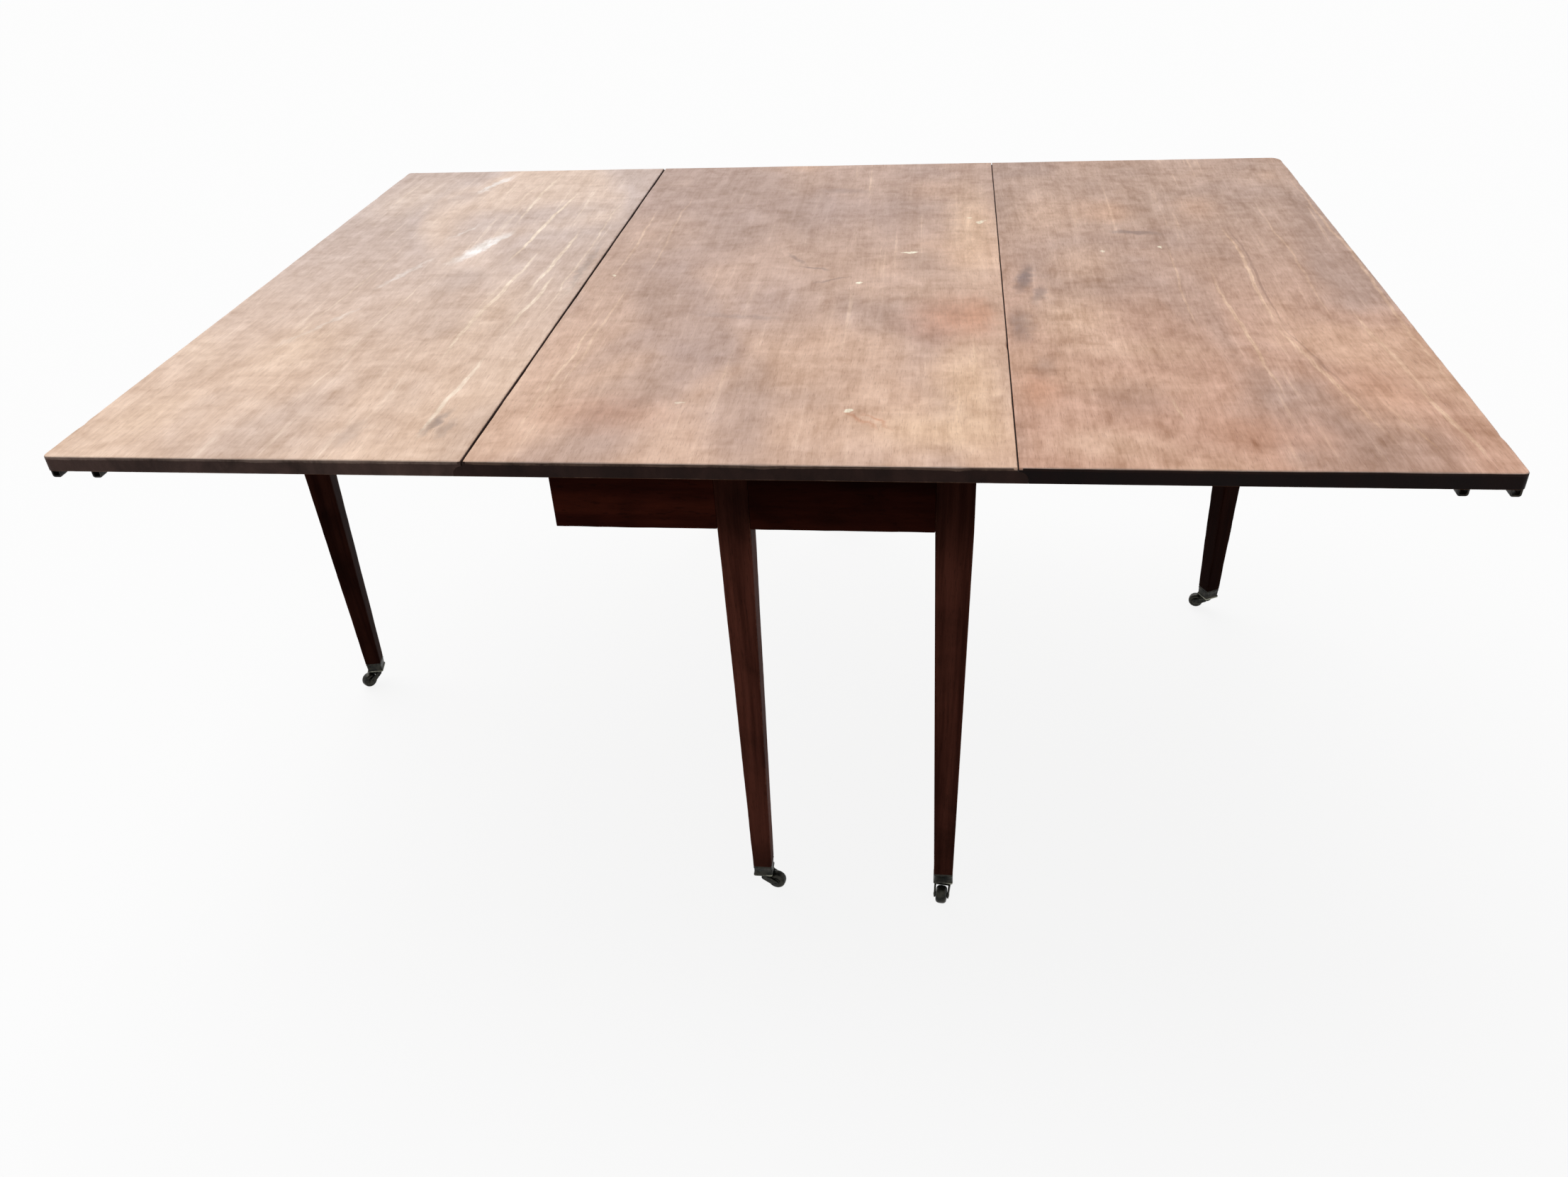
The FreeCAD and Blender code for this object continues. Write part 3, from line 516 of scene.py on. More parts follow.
def edgeRadius(along, base, seed, nicks=()):
    # The arris radius wanders along the edge, and each nick adds a bell-shaped dip.
    radius = base * wornShare(along, boardWear, seed)
    for place, length, depth in nicks:
        radius = radius + depth * np.exp(-((along - place) / length) ** 2)
    return np.maximum(radius, boardWear["least"] * base)


def boardShell(xLow, xHigh, walls, reliefs, radii, corners, seams, shape, seed):
    # The top is a grid over x and y whose borders fall away as quarter rounds. The border loop then goes down
    # the wall profile, where x is stretched so that each side meets its own moulding, to a flat underside.
    # Beside each hinge the loop takes the relieved profile.
    end, top, under = shape["halfLength"], shape["height"], shape["underside"]
    x = borderSteps(xLow, xHigh, shape["spacing"])
    y = borderSteps(-end, end, shape["spacing"])
    nx, ny = len(x), len(y)
    low, high, front, back = (edgeRadius(s, *r) for s, r in zip((y, y, x, x), radii))
    low, high, front, back = low[:, None], high[:, None], front[None, :], back[None, :]
    acrossX, alongY = x[None, :], y[:, None]
    lackX = np.maximum(roundLack(acrossX - xLow, low), roundLack(xHigh - acrossX, high))
    lackY = np.maximum(roundLack(alongY + end, front), roundLack(end - alongY, back))
    pull = np.minimum(np.hypot(lackX, lackY), 1.0)
    handled = dirt = pull
    for seamX, dirty in seams:          # nobody rubs the arris inside a seam, so it keeps its dirt
        inSeam = np.abs(acrossX - seamX) < shape["seamReach"]
        handled, dirt = np.where(inSeam, 0.0, handled), np.where(inSeam, dirty * pull, dirt)
    radius = np.where(lackX >= lackY, np.where(acrossX < (xLow + xHigh) / 2, low, high),
                      np.where(alongY < 0, front, back))
    gridX, gridY = np.meshgrid(x, y)
    wave = shape["warp"] * softNoise2(gridX + 3.0, gridY + 3.0, shape["warpStep"], seed)
    gridZ = top - radius * roundDrop(pull) + np.minimum(wave, 0.0)
    # plan corners: near each end the outer border steps in by the lack of a quarter circle
    for side, atFront, atBack in corners:
        fade = roundLack((xHigh - gridX) if side > 0 else (gridX - xLow), shape["cornerFade"])
        for distance, cut in ((gridY + end, atFront), (end - gridY, atBack)):
            gridX = gridX - side * fade * cut * roundDrop(roundLack(distance, cut))
    topPoints = stacked(gridX, gridY, gridZ).reshape(-1, 3)
    index = np.arange(nx * ny).reshape(ny, nx)
    loop = np.concatenate([index[0, :-1], index[:-1, -1], index[-1, :0:-1], index[:0:-1, 0]])
    edgeX, edgeY, edgeZ = topPoints[loop].T
    share = (edgeX - xLow) / (xHigh - xLow)
    middles = np.array(shape["hingeShares"]) * 2 * end
    atHinge = np.any(np.abs(edgeY[:, None] - middles) < shape["hingeReach"], axis=1)[:, None]
    atEnd = np.abs(edgeY) > end - mm
    rings = []
    for plain, relieved in zip(walls, reliefs):
        lowShift, highShift, height = np.where(atHinge, relieved, plain).T
        across = edgeX + lowShift * (1.0 - share) + highShift * share
        level = under + (height - under) * (edgeZ - under) / (top - under)
        dent = softNoise2(edgeX * 2 + edgeY + 5.0, level * 3 + 5.0, shape["dentStep"], seed + 7)
        lengthways = edgeY - np.sign(edgeY) * np.where(atEnd, np.abs(shape["dent"] * dent), 0)
        rings.append(stacked(across, lengthways, level))
    rings = np.array(rings)
    wallSize = rings.shape[:2]
    ids = np.concatenate([loop[None, :], nx * ny + np.arange(len(rings) * len(loop)).reshape(wallSize)])
    onward = np.roll(ids, -1, axis=1)
    wallQuads = stacked(ids[:-1], onward[:-1], onward[1:], ids[1:])
    faces = gridQuads(ny, nx, closedColumns=False).tolist() + wallQuads.reshape(-1, 4).tolist()
    faces.append(ids[-1].tolist())
    wallArris, wallUnder = np.zeros(wallSize), np.zeros(wallSize)
    wallArris[0], wallArris[-3:], wallUnder[-1] = shape["topArris"], shape["footArris"], 1.0
    values = {"rim": (dirt, np.ones(wallSize)), "arris": (handled, wallArris),
              "under": (np.zeros((ny, nx)), wallUnder)}
    return {"points": np.concatenate([topPoints, rings.reshape(-1, 3)]), "faces": faces,
            **{key: np.concatenate([part.reshape(-1) for part in parts]) for key, parts in values.items()}}


def wallLevels(shape, side):
    # Down the rule joint: the square quirk, a quarter circle about the hinge line, then straight down.
    hinge, tail = shape["hingeHeight"], shape["tail"]
    radius, start, origin = shape["height"] - shape["quirk"] - hinge, math.pi / 2, 0.0
    if side == "leaf":
        radius, origin = radius + shape["clearance"], shape["gap"]
        start = math.acos(origin / radius)
    turn = np.linspace(start, 0.0, shape["jointPoints"])
    out = np.concatenate([[0.0, 0.0], radius * np.cos(turn) - origin, [radius - origin] * len(tail)])
    quirk = hinge + radius * math.sin(start)
    levels = np.concatenate([quirk + shape["quirkRings"], hinge + radius * np.sin(turn),
                             shape["underside"] + tail])
    return out, levels


def relievedLevels(shape, out, levels):
    # At a hinge the moulding is cut away below the hinge line, then hollowed by an arc over the barrel.
    count, barrel, hinge = len(shape["tail"]), shape["barrel"], shape["hingeHeight"]
    over = np.linspace(0.0, np.pi, count - 3)[1:]
    shelf = hinge - shape["shelfDrop"]
    out, levels = out.copy(), levels.copy()
    out[-count:] = np.concatenate([[out[-1], barrel], barrel * np.cos(over), [-barrel, -barrel]])
    levels[-count:] = np.concatenate([[shelf, shelf], hinge + barrel * np.sin(over), levels[-2:]])
    return out, levels


def makeBoards(shape):
    seam, inner, outer = shape["seam"], shape["seam"] + shape["gap"], shape["outer"]
    arris, seamArris, leftSeamArris = shape["arris"], shape["seamArris"], shape["leftSeamArris"]
    leftDirt, rightDirt = shape["leftSeamDirt"], shape["rightSeamDirt"]
    bulge, levels = wallLevels(shape, "centre")
    cutBulge, cutLevels = relievedLevels(shape, bulge, levels)
    walls, reliefs = list(zip(-bulge, bulge, levels)), list(zip(-cutBulge, cutBulge, cutLevels))
    hollow, levels = wallLevels(shape, "leaf")
    straight = np.zeros(len(hollow))
    leftWalls, rightWalls = list(zip(straight, -hollow, levels)), list(zip(hollow, straight, levels))
    # nicks by place along the edge, length and depth
    chip = [(-0.259, 9 * mm, 3.2 * mm), (0.06, 14 * mm, 0.9 * mm), (-0.43, 20 * mm, 0.8 * mm)]
    frontNicks = [(0.03, 14 * mm, 1.6 * mm), (-0.21, 9 * mm, 1.2 * mm), (0.24, 6 * mm, 1.4 * mm)]
    nicks = [(0.42, 12 * mm, 1.5 * mm), (-0.5, 8 * mm, 1.8 * mm), (0.55, 20 * mm, 1.2 * mm)]
    seamWear = [(-0.259, 7 * mm, 1.6 * mm), (-0.1, 30 * mm, 0.6 * mm)]
    boards = {
        "centre": (-seam, seam, walls, reliefs,
                   [(leftSeamArris, 11), (seamArris, 13, chip), (arris, 15, frontNicks), (arris, 17)],
                   (), [(-seam, leftDirt), (seam, rightDirt)], shape, 21),
        "right": (inner, outer, rightWalls, rightWalls,
                  [(seamArris, 31, seamWear), (arris, 33, nicks), (arris, 35), (arris, 37)],
                  [(1, shape["cornerRound"], shape["wornCorner"])], [(inner, rightDirt)], shape, 41),
        "left": (-outer, -inner, leftWalls, leftWalls,
                 [(arris, 51, nicks), (leftSeamArris, 53), (arris, 55), (arris, 57)],
                 [(-1, shape["cornerRound"], shape["cornerRound"])], [(-inner, leftDirt)], shape, 61),
    }
    for side, given in boards.items():
        piece, body, solid = side + "_leaf_board", side + "_leaf", side + "_leaf"
        if side == "centre":
            piece, body, solid = "centre_board", "frame", "centre_top"
        finish = topMaterial("top%sWood" % side.capitalize(), topFinish[side], topFinish)
        makePiece(piece, [boardShell(*given)], finish, body, [solid])


makeBoards(boardShape)
print("top boards made")


# Dark frame wood and bare inner wood

frameFinish = {
    **tints(dark=(46, 16, 11), light=(80, 34, 23), black=(16, 8, 7), rub=(112, 62, 44)),
    # grime: how far the painted shade under the overhanging top darkens the wood
    "rubAmount": 0.02, "roughness": 0.6, "gloss": 0.02, "glossTint": (1.0, 0.42, 0.32, 1.0), "grime": 0.65,
    "grimeLevels": (0.612, 0.695),      # painted shade deepens between these heights, under the overhanging top
    "shades": {"front_apron_right": 0.50, "back_apron_right": 0.8},      # painted light and shade: each piece's brightness beside the rest
}
legFinish = {
    **frameFinish, **tints(dark=(54, 26, 20), light=(88, 48, 38), black=(20, 11, 9), rub=(118, 72, 56)),
    # on the legs the painted shade under the top and aprons starts lower
    "grimeLevels": (0.535, 0.645),
    # painted light on the front legs, painted shade on the gate legs
    "shades": {"front_centre": 1.5, "front_right": 1.25, "left_gate": 0.42, "right_gate": 0.25},
}
bareFinish = {
    **tints(dark=(92, 60, 40), light=(134, 96, 66), black=(46, 30, 22), rub=(158, 118, 84)),
    # the bare inner rails get a lighter painted shade under the top
    "rubAmount": 0.0, "roughness": 0.72, "gloss": 0.2, "glossTint": (1.0, 0.9, 0.8, 1.0), "grime": 0.3,
    "grimeLevels": frameFinish["grimeLevels"],
}
toeLevels, toeShade = (0.05, 0.17), 0.82          # feet are a little darker below these heights
grainTurns = {"X": (0.0, 0.0, math.pi / 2), "Y": (0.0, 0.0, 0.0), "Z": (math.pi / 2, 0.0, 0.0)}


def railMaterial(name, look, turn, offset, shade=1.0):
    # shade scales the whole colour: above one it paints light, below one it paints shade
    sheen = {"Specular IOR Level": look["gloss"], "Specular Tint": look["glossTint"]}
    material, tree, surface = newMaterial(name, **sheen)
    spot = objectVector(tree, turn=turn, offset=offset)
    grain = useGroup(tree, grainGroup, {"Vector": spot})
    colour = mixColour(tree, ease(tree, grain["Streak"], 0.32, 0.70), look["dark"], look["light"])
    colour = mixColour(tree, ease(tree, grain["Cloud"], 0.46, 0.72, 0.0, 0.65), colour, look["black"])
    colour = mixColour(tree, times(tree, grain["Pore"], 0.4), colour, look["black"])
    rubbed = times(tree, rubMask(tree, spot, look["rubAmount"]), 0.6)
    colour = mixColour(tree, rubbed, colour, look["rub"])
    # painted shade: darker under the overhanging top, scaled by the piece's painted light level, and darker
    # towards the toe
    height = node(tree, "ShaderNodeSeparateXYZ", {0: objectVector(tree)}).outputs["Z"]
    brightnessLevel = ease(tree, height, *look["grimeLevels"], shade, shade * (1.0 - look["grime"]))
    brightnessLevel = times(tree, brightnessLevel, ease(tree, height, *toeLevels, toeShade, 1.0))
    dull = times(tree, grain["Cloud"], 0.22, look["roughness"] - 0.1)
    finishSurface(tree, surface, dimmed(tree, colour, brightnessLevel), dull, grain["Fleck"], 0.25, 0.4 * mm)
    return material


def roundedRings(xLow, xHigh, yLow, yHigh, radius, sidePoints=5, cornerPoints=5):
    # Rings of rounded rectangles: each corner is a quarter circle, each side a straight run to the next.
    turn = np.linspace(0.0, np.pi / 2, cornerPoints)
    steps = np.arange(1, sidePoints + 1) / (sidePoints + 1)
    arcs = []
    for k, (cx, cy, inX, inY) in enumerate(((xHigh, yHigh, -1, -1), (xLow, yHigh, 1, -1),
                                            (xLow, yLow, 1, 1), (xHigh, yLow, -1, 1))):
        r, swept = radius[:, k:k + 1], turn + k * np.pi / 2
        arcs.append(stacked(cx[:, None] + inX * r + r * np.cos(swept),
                            cy[:, None] + inY * r + r * np.sin(swept)))
    pieces = []
    for k in range(4):
        start, finish = arcs[k][:, -1:], arcs[(k + 1) % 4][:, :1]
        pieces += [arcs[k], start + (finish - start) * steps[None, :, None]]
    weight = np.concatenate([np.sin(2 * turn) * 0.6 + 0.4, np.zeros(sidePoints)])
    return np.concatenate(pieces, axis=1), np.tile(weight, 4)


def wornRadius(along, base, seed):    # corner radii that wander differently along each of four arrises
    return np.stack([base * np.maximum(wornShare(along, postWear, seed + 3 * k), postWear["least"])
                     for k in range(4)], axis=1)


legShape = {
    **inMm(toe=26.0, arris=1.7, rebate=8.5, stepDrop=0.5), "taperRings": 64, "headRings": 14,
    "head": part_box("front_right_leg")[1].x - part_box("front_right_leg")[0].x,
    "centreHead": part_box("front_centre_leg")[1].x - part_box("front_centre_leg")[0].x,
    "shoulder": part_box("front_apron_right")[0].z, "toeHeight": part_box("fixed_leg_castor_cups")[1].z,
    "top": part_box("front_centre_leg")[1].z, "gateTop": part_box("left_gate_leg")[1].z,
}


def legShell(shape, head, rebated, seed):
    # A square post: constant at the head, then an even taper to the toe. A gate leg's head is rebated.
    top = shape["gateTop"] if rebated else shape["top"]
    step = shape["shoulder"] - shape["stepDrop"]
    z = np.concatenate([np.linspace(shape["toeHeight"], step, shape["taperRings"]), [step],
                        np.linspace(step + 1 * mm, top, shape["headRings"])])
    taper = np.clip((shape["shoulder"] - z) / (shape["shoulder"] - shape["toeHeight"]), 0.0, 1.0)
    half = (head + (shape["toe"] - head) * taper) / 2
    cut = np.where(np.arange(len(z)) >= shape["taperRings"], shape["rebate"] if rebated else 0.0, 0.0)
    rings, arris = roundedRings(-half, half - cut, -half, half, wornRadius(z, shape["arris"], seed))
    return loftShell(raised(rings, z), arris)


def gateTurn(gate):                   # how far a gate has swung, from its pivot and its shut and open places
    pivot, foot = jointAt[gate + "_swing"][:2], jointAt[gate + "_castor_swivel"][:2]
    corner = jointAt["front_right_castor_swivel"][:2]
    shut = corner * [-1, 1] if gate == "left_gate" else corner * [1, -1]
    return math.atan2(*(foot - pivot)[::-1]) - math.atan2(*(shut - pivot)[::-1])


def makeLegs(shape):
    for k, leg in enumerate(legNames):
        gate = leg.endswith("gate")
        angle = 0.0
        if gate:
            angle = gateTurn(leg) + (math.pi if leg == "right_gate" else 0.0)
        foot = jointAt[leg + "_castor_swivel"]
        head = shape["centreHead"] if leg.endswith("centre") else shape["head"]
        shell = turnedShell(legShell(shape, head, gate, 100 + 20 * k), angle, (foot[0], foot[1], 0.0))
        finish = railMaterial(leg + "LegWood", legFinish, grainTurns["Z"], (0.7 * k, 1.3 * k, 0.0),
                              legFinish["shades"].get(leg, 1.0))
        body = leg if gate else "frame"
        makePiece(leg + "_leg_post", [shell], finish, body, [leg + "_leg"])


makeLegs(legShape)
print("legs made")


railShape = inMm(arris=1.3, apronArris=1.1, step=9.0)


def barShell(low, high, axis, arris, step, seed):
    # A bar with wandering rounded arrises, carried along its length; at both ends the outline draws in by a
    # quarter round.
    order = {"X": [1, 2, 0], "Y": [2, 0, 1], "Z": [0, 1, 2]}[axis]
    a, b = np.array(low)[order], np.array(high)[order]
    close = np.array([0.0, 0.3, 0.8, 1.0])
    length = b[2] - a[2]
    even = np.linspace(arris, length - arris, max(int(length / step), 2))
    along = np.concatenate([close[:-1] * arris, even, length - close[-2::-1] * arris])
    lack = roundLack(np.minimum(along, length - along), arris)
    draw = arris * roundDrop(lack)
    radius = wornRadius(along + a[2] + 2.0, arris, seed) * (1.0 - 0.5 * lack[:, None])
    rings, weight = roundedRings(a[0] + draw, b[0] - draw, a[1] + draw, b[1] - draw, radius)
    return loftShell(raised(rings, a[2] + along)[..., np.argsort(order)], weight)


def makeRails(shape):
    legX = {name: jointAt[name + "_castor_swivel"][0] for name in legNames}
    half, centreHalf = legShape["head"] / 2, legShape["centreHead"] / 2
    # each apron runs between the leg faces, so its tenons stay inside the legs
    spans = {
        "front_apron_left": (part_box("front_apron_left")[0].x, legX["front_centre"] - centreHalf),
        "front_apron_right": (legX["front_centre"] + centreHalf, legX["front_right"] - half),
        "back_apron_left": (legX["back_left"] + half, legX["back_centre"] - centreHalf),
        "back_apron_right": (legX["back_centre"] + centreHalf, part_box("back_apron_right")[1].x),
    }
    for k, (name, (x0, x1)) in enumerate(spans.items()):
        low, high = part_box(name)
        shell = barShell((x0, low.y, low.z), (x1, high.y, high.z), "X", shape["apronArris"], shape["step"],
                         300 + 20 * k)
        finish = railMaterial(name + "Wood", frameFinish, grainTurns["X"], (0.9 * k, 0.4 * k, 0.0),
                              frameFinish["shades"].get(name, 1.0))
        makePiece(name + "_board", [shell], finish, "frame", [name])
    inner = {"left_inner_rail": "Y", "right_inner_rail": "Y", "cross_rail": "X"}
    for k, (name, axis) in enumerate(inner.items()):
        low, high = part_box(name)
        shell = barShell(low, high, axis, shape["arris"], shape["step"], 400 + 20 * k)
        finish = railMaterial(name + "Wood", bareFinish, grainTurns[axis], (0.5 * k, 0.8 * k, 0.0))
        makePiece(name + "_bar", [shell], finish, "frame", [name])


makeRails(railShape)
print("aprons and rails made")


# Castors

brassFinish = tints(dull=(48, 46, 39), dark=(22, 22, 20), bright=(132, 132, 118), green=(52, 62, 54))
keeperFinish = tints(dull=(38, 34, 30), dark=(18, 16, 15), bright=(96, 84, 62), green=(34, 36, 32))
ironFinish = tints(dull=(62, 56, 52), dark=(32, 28, 26), bright=(110, 104, 98), green=(84, 54, 38))


def metalMaterial(name, look, metallic, roughness):
    # Tarnish in cloudy patches, a trace of green or rust, and rubbed metal on the arrises; on the castor cups
    # and crowns the rubbed colour also stands for painted highlights.
    material, tree, surface = newMaterial(name)
    spot = objectVector(tree)
    patches = noise(tree, spot, (150.0, 150.0, 150.0), detail=4.0)
    bloom = noise(tree, spot, (320.0, 320.0, 320.0), detail=3.0, distortion=0.8)
    colour = mixColour(tree, ease(tree, patches, 0.38, 0.64), look["dull"], look["dark"])
    colour = mixColour(tree, ease(tree, bloom, 0.55, 0.72, 0.0, 0.5), colour, look["green"])
    rubbed = rubMask(tree, spot, 0.05)
    colour = mixColour(tree, rubbed, colour, look["bright"])
    tree.links.new(times(tree, rubbed, 1.0 - metallic, metallic), surface.inputs["Metallic"])
    matt = times(tree, patches, 0.3, roughness - 0.15)
    matt = times(tree, rubbed, -0.2, matt)
    finishSurface(tree, surface, colour, matt, bloom, 0.2, 0.3 * mm)
    return material


castorShape = {
    "cupHalf": legShape["toe"] / 2 + 0.5 * mm, "hornSpread": 0.12,
    **inMm(cupBottom=26.0, cupArris=2.2, crownTop=25.7, crownBottom=18.0, bridge=5.5, trail=19.0,
           wheelRadius=12.5, cheekIn=8.0, cheekOut=10.4, cheekEnd=5.0, cheekTop=4.0, cheekBack=3.0, dome=0.7,
           treadGap=0.8, hollowDrop=1.5, lipDrop=0.5, webBite=0.6, bridgeDrop=0.3, bridgeArris=1.2,
           bridgeStep=3.0),
}


def latheShell(heights, radius, arris, steps, closed=False):
    # A profile of (height, radius) turned about the upright axis.
    turn = np.linspace(0.0, 2 * np.pi, steps, endpoint=False)
    rings = stacked(radius[:, None] * np.cos(turn), radius[:, None] * np.sin(turn), heights[:, None])
    return loftShell(rings, arris[:, None], closed)


def axleLathe(shape, places, radius, arris, steps, closed=False):
    # The same, laid over so that the axis is the level axle along Y.
    shell = latheShell(places, radius, arris, steps, closed)
    x, y, z = shell["points"].T
    return {**shell, "points": stacked(shape["trail"] + x, z, shape["wheelRadius"] - y)}


def cupShell(shape):
    # A square cup by height: a rounded flange at the foot, a plain wall, and a fine bead below the rim.
    z = profile(0.0, 0.35, 1.0, 2.9, 3.6, 4.2, 4.7, 14.6, 15.1, 15.8, 16.5, 17.0, 18.7, 19.0)
    inset = profile(1.4, 0.5, 0.05, 0.05, 0.4, 1.0, 1.2, 0.75, 0.55, 0.3, 0.55, 0.75, 0.75, 1.1)
    # the flange's heavy weights give a pale band that is partly rubbed brass and partly a painted highlight
    rubAndGlintWeight = np.array([0.2, 0.6, 1.05, 1.05, 0.7, 0.2, 0, 0, 0.2, 0.5, 0.2, 0, 0.4, 0.4])
    half, radius = shape["cupHalf"] - inset, np.full((len(z), 4), shape["cupArris"])
    rings, weight = roundedRings(-half, half, -half, half, radius, sidePoints=4)
    return loftShell(raised(rings, shape["cupBottom"] + z), np.maximum(weight * 0.5, rubAndGlintWeight[:, None]))


def cheekShell(shape, yIn, yOut):
    # Outline: the taut band round a small circle at the crown and a larger one at the axle, drawn in at both
    # faces and spread sideways towards the crown like a horn.
    crown = np.array([shape["cheekBack"], shape["crownTop"] - shape["cheekTop"]])
    axle = np.array([shape["trail"], shape["wheelRadius"]])
    reach = np.hypot(*(axle - crown))
    lean = math.atan2(axle[1] - crown[1], axle[0] - crown[0])
    wrap = math.acos((shape["cheekTop"] - shape["cheekEnd"]) / reach)
    turnAxle = np.linspace(lean - wrap, lean + wrap, 18)
    turnCrown = np.linspace(lean + wrap, lean + 2 * np.pi - wrap, 14)
    y = np.array([0.0, 0.12, 0.3, 0.7, 0.88, 1.0])
    draw = profile(0.5, 0.16, 0.0, 0.0, 0.16, 0.5)
    edge = np.array([0.7, 0.9, 0.3, 0.3, 0.9, 0.7])
    rings = []
    for share, inset in zip(y, draw):
        a = axle + (shape["cheekEnd"] - inset) * stacked(np.cos(turnAxle), np.sin(turnAxle))
        c = crown + (shape["cheekTop"] - inset) * stacked(np.cos(turnCrown), np.sin(turnCrown))
        flat = np.concatenate([a, c])
        rise = np.clip((axle[0] - flat[:, 0]) / (axle[0] - crown[0]), 0.0, 1.0) ** 1.5
        spread = 1.0 + shape["hornSpread"] * rise
        rings.append(stacked(flat[:, 0], (yIn + (yOut - yIn) * share) * spread, flat[:, 1]))
    return loftShell(np.array(rings), edge[:, None])


def webShell(shape):
    # Between the cheeks: square behind, hollow in front along an arc that stays just clear of the tread.
    clear = shape["wheelRadius"] + shape["treadGap"]
    rise = np.array([shape["crownBottom"], shape["crownTop"] - shape["hollowDrop"]]) - shape["wheelRadius"]
    turn = np.linspace(*np.arcsin(rise / clear), 10)
    arc = stacked(shape["trail"] - clear * np.cos(turn), shape["wheelRadius"] + clear * np.sin(turn))
    lip = shape["crownTop"] - shape["lipDrop"]
    outline = np.concatenate([[[0.0, shape["crownBottom"]]], arc, [[arc[-1, 0], lip], [0.0, lip]]])
    places = np.linspace(-1.0, 1.0, 5) * (shape["cheekIn"] + shape["webBite"])
    return loftShell(raised(np.stack([outline] * len(places)), places)[..., [0, 2, 1]])


def forkShells(shape):
    # the crown's top arrises are weighted high, so their rubbed colour is partly a painted highlight
    crown = latheShell(shape["crownTop"] - profile(7.7, 7.5, 6.7, 2.8, 1.8, 1.3, 0.4, 0.0),
                       profile(5.6, 6.4, 7.0, 7.4, 8.8, 11.0, 11.2, 10.7),
                       np.array([0.3, 0.5, 0.2, 0.2, 0.3, 0.9, 1.0, 0.6]), 36)
    wide = shape["cheekOut"]
    reach = wide * (1.0 + 0.6 * shape["hornSpread"])
    bridge = barShell((0.0, -reach, shape["crownBottom"]),
                      (shape["bridge"], reach, shape["crownTop"] - shape["bridgeDrop"]), "Y",
                      shape["bridgeArris"], shape["bridgeStep"], 500)
    cheeks = [cheekShell(shape, shape["cheekIn"], wide), cheekShell(shape, -wide, -shape["cheekIn"])]
    return [crown, bridge, webShell(shape)] + cheeks


def axleShell(shape):
    # A plain pin whose ends are low domes outside the cheeks.
    ends = shape["cheekOut"] + np.array([0.0, 0.2 * mm, 0.55 * mm, shape["dome"]])
    radius = profile(0.7, 1.9, 2.7, 2.9, 2.9, 2.7, 1.9, 0.7)
    return axleLathe(shape, np.concatenate([-ends[::-1], ends]), radius, np.full(8, 0.6), 24)


def wheelShell(shape):
    # Half profile from bore to tread: boss, sunk web, raised lip, broad round shoulder and crowned tread.
    turn = np.linspace(0.0, np.pi / 2, 8)
    shoulder = stacked(2.4 + 5.0 * np.cos(turn), 8.2 + 4.2 * np.sin(turn))
    face = [[7.5, 2.25], [7.5, 4.2], [7.1, 4.9], [6.6, 5.3], [6.6, 6.9], [6.9, 7.4], [7.3, 7.7]]
    side = np.concatenate([face, shoulder, [[1.2, 12.47]]]) * mm
    outline = np.concatenate([side, [[0.0, shape["wheelRadius"]]], side[::-1] * [-1, 1]])
    weight = np.concatenate([[0.2, 0.7, 0.6, 0, 0, 0, 0.7], 0.8 - 0.4 * np.sin(turn), [0.35]])
    weight = np.concatenate([weight, [0.35], weight[::-1]])
    return axleLathe(shape, outline[:, 0], outline[:, 1], weight, 56, closed=True)


def makeCastors(shape):
    brass = metalMaterial("castorBrass", brassFinish, 0.75, 0.42)
    cups = []
    for leg in legNames:
        foot, hub = jointAt[leg + "_castor_swivel"], jointAt[leg + "_wheel_spin"]
        angle = math.atan2(hub[1] - foot[1], hub[0] - foot[0])
        place = (foot[0], foot[1], 0.0)
        parts = {"fork": (forkShells(shape), "_castor"), "axle": ([axleShell(shape)], "_castor"),
                 "wheel": ([wheelShell(shape)], "_wheel")}
        for part, (shells, body) in parts.items():
            turned = [turnedShell(shell, angle, place) for shell in shells]
            makePiece(leg + "_" + part, turned, brass, leg + body, [leg + "_castor_" + part])
        if leg.endswith("gate"):
            cup = turnedShell(cupShell(shape), gateTurn(leg), place)
            makePiece(leg + "_cup", [cup], brass, leg, [leg + "_castor_cup"])
        else:
            cups.append(turnedShell(cupShell(shape), 0.0, place))
    makePiece("fixed_leg_cups", cups, brass, "frame", ["fixed_leg_castor_cups"])
    return brass


brass = makeCastors(castorShape)
print("castors made")


# Clip sockets

keeperShape = {
    **inMm(width=62.0, length=12.0, loopWidth=11.5, drop=8.0, wall=2.0, spacing=50.5, bend=3.2, edge=0.6,
           plateArris=0.7, plateStep=6.0),
    "plateTop": boardShape["underside"] + 0.05 * mm, "plateLow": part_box("centre_top")[0].z - 2.0 * mm,
}


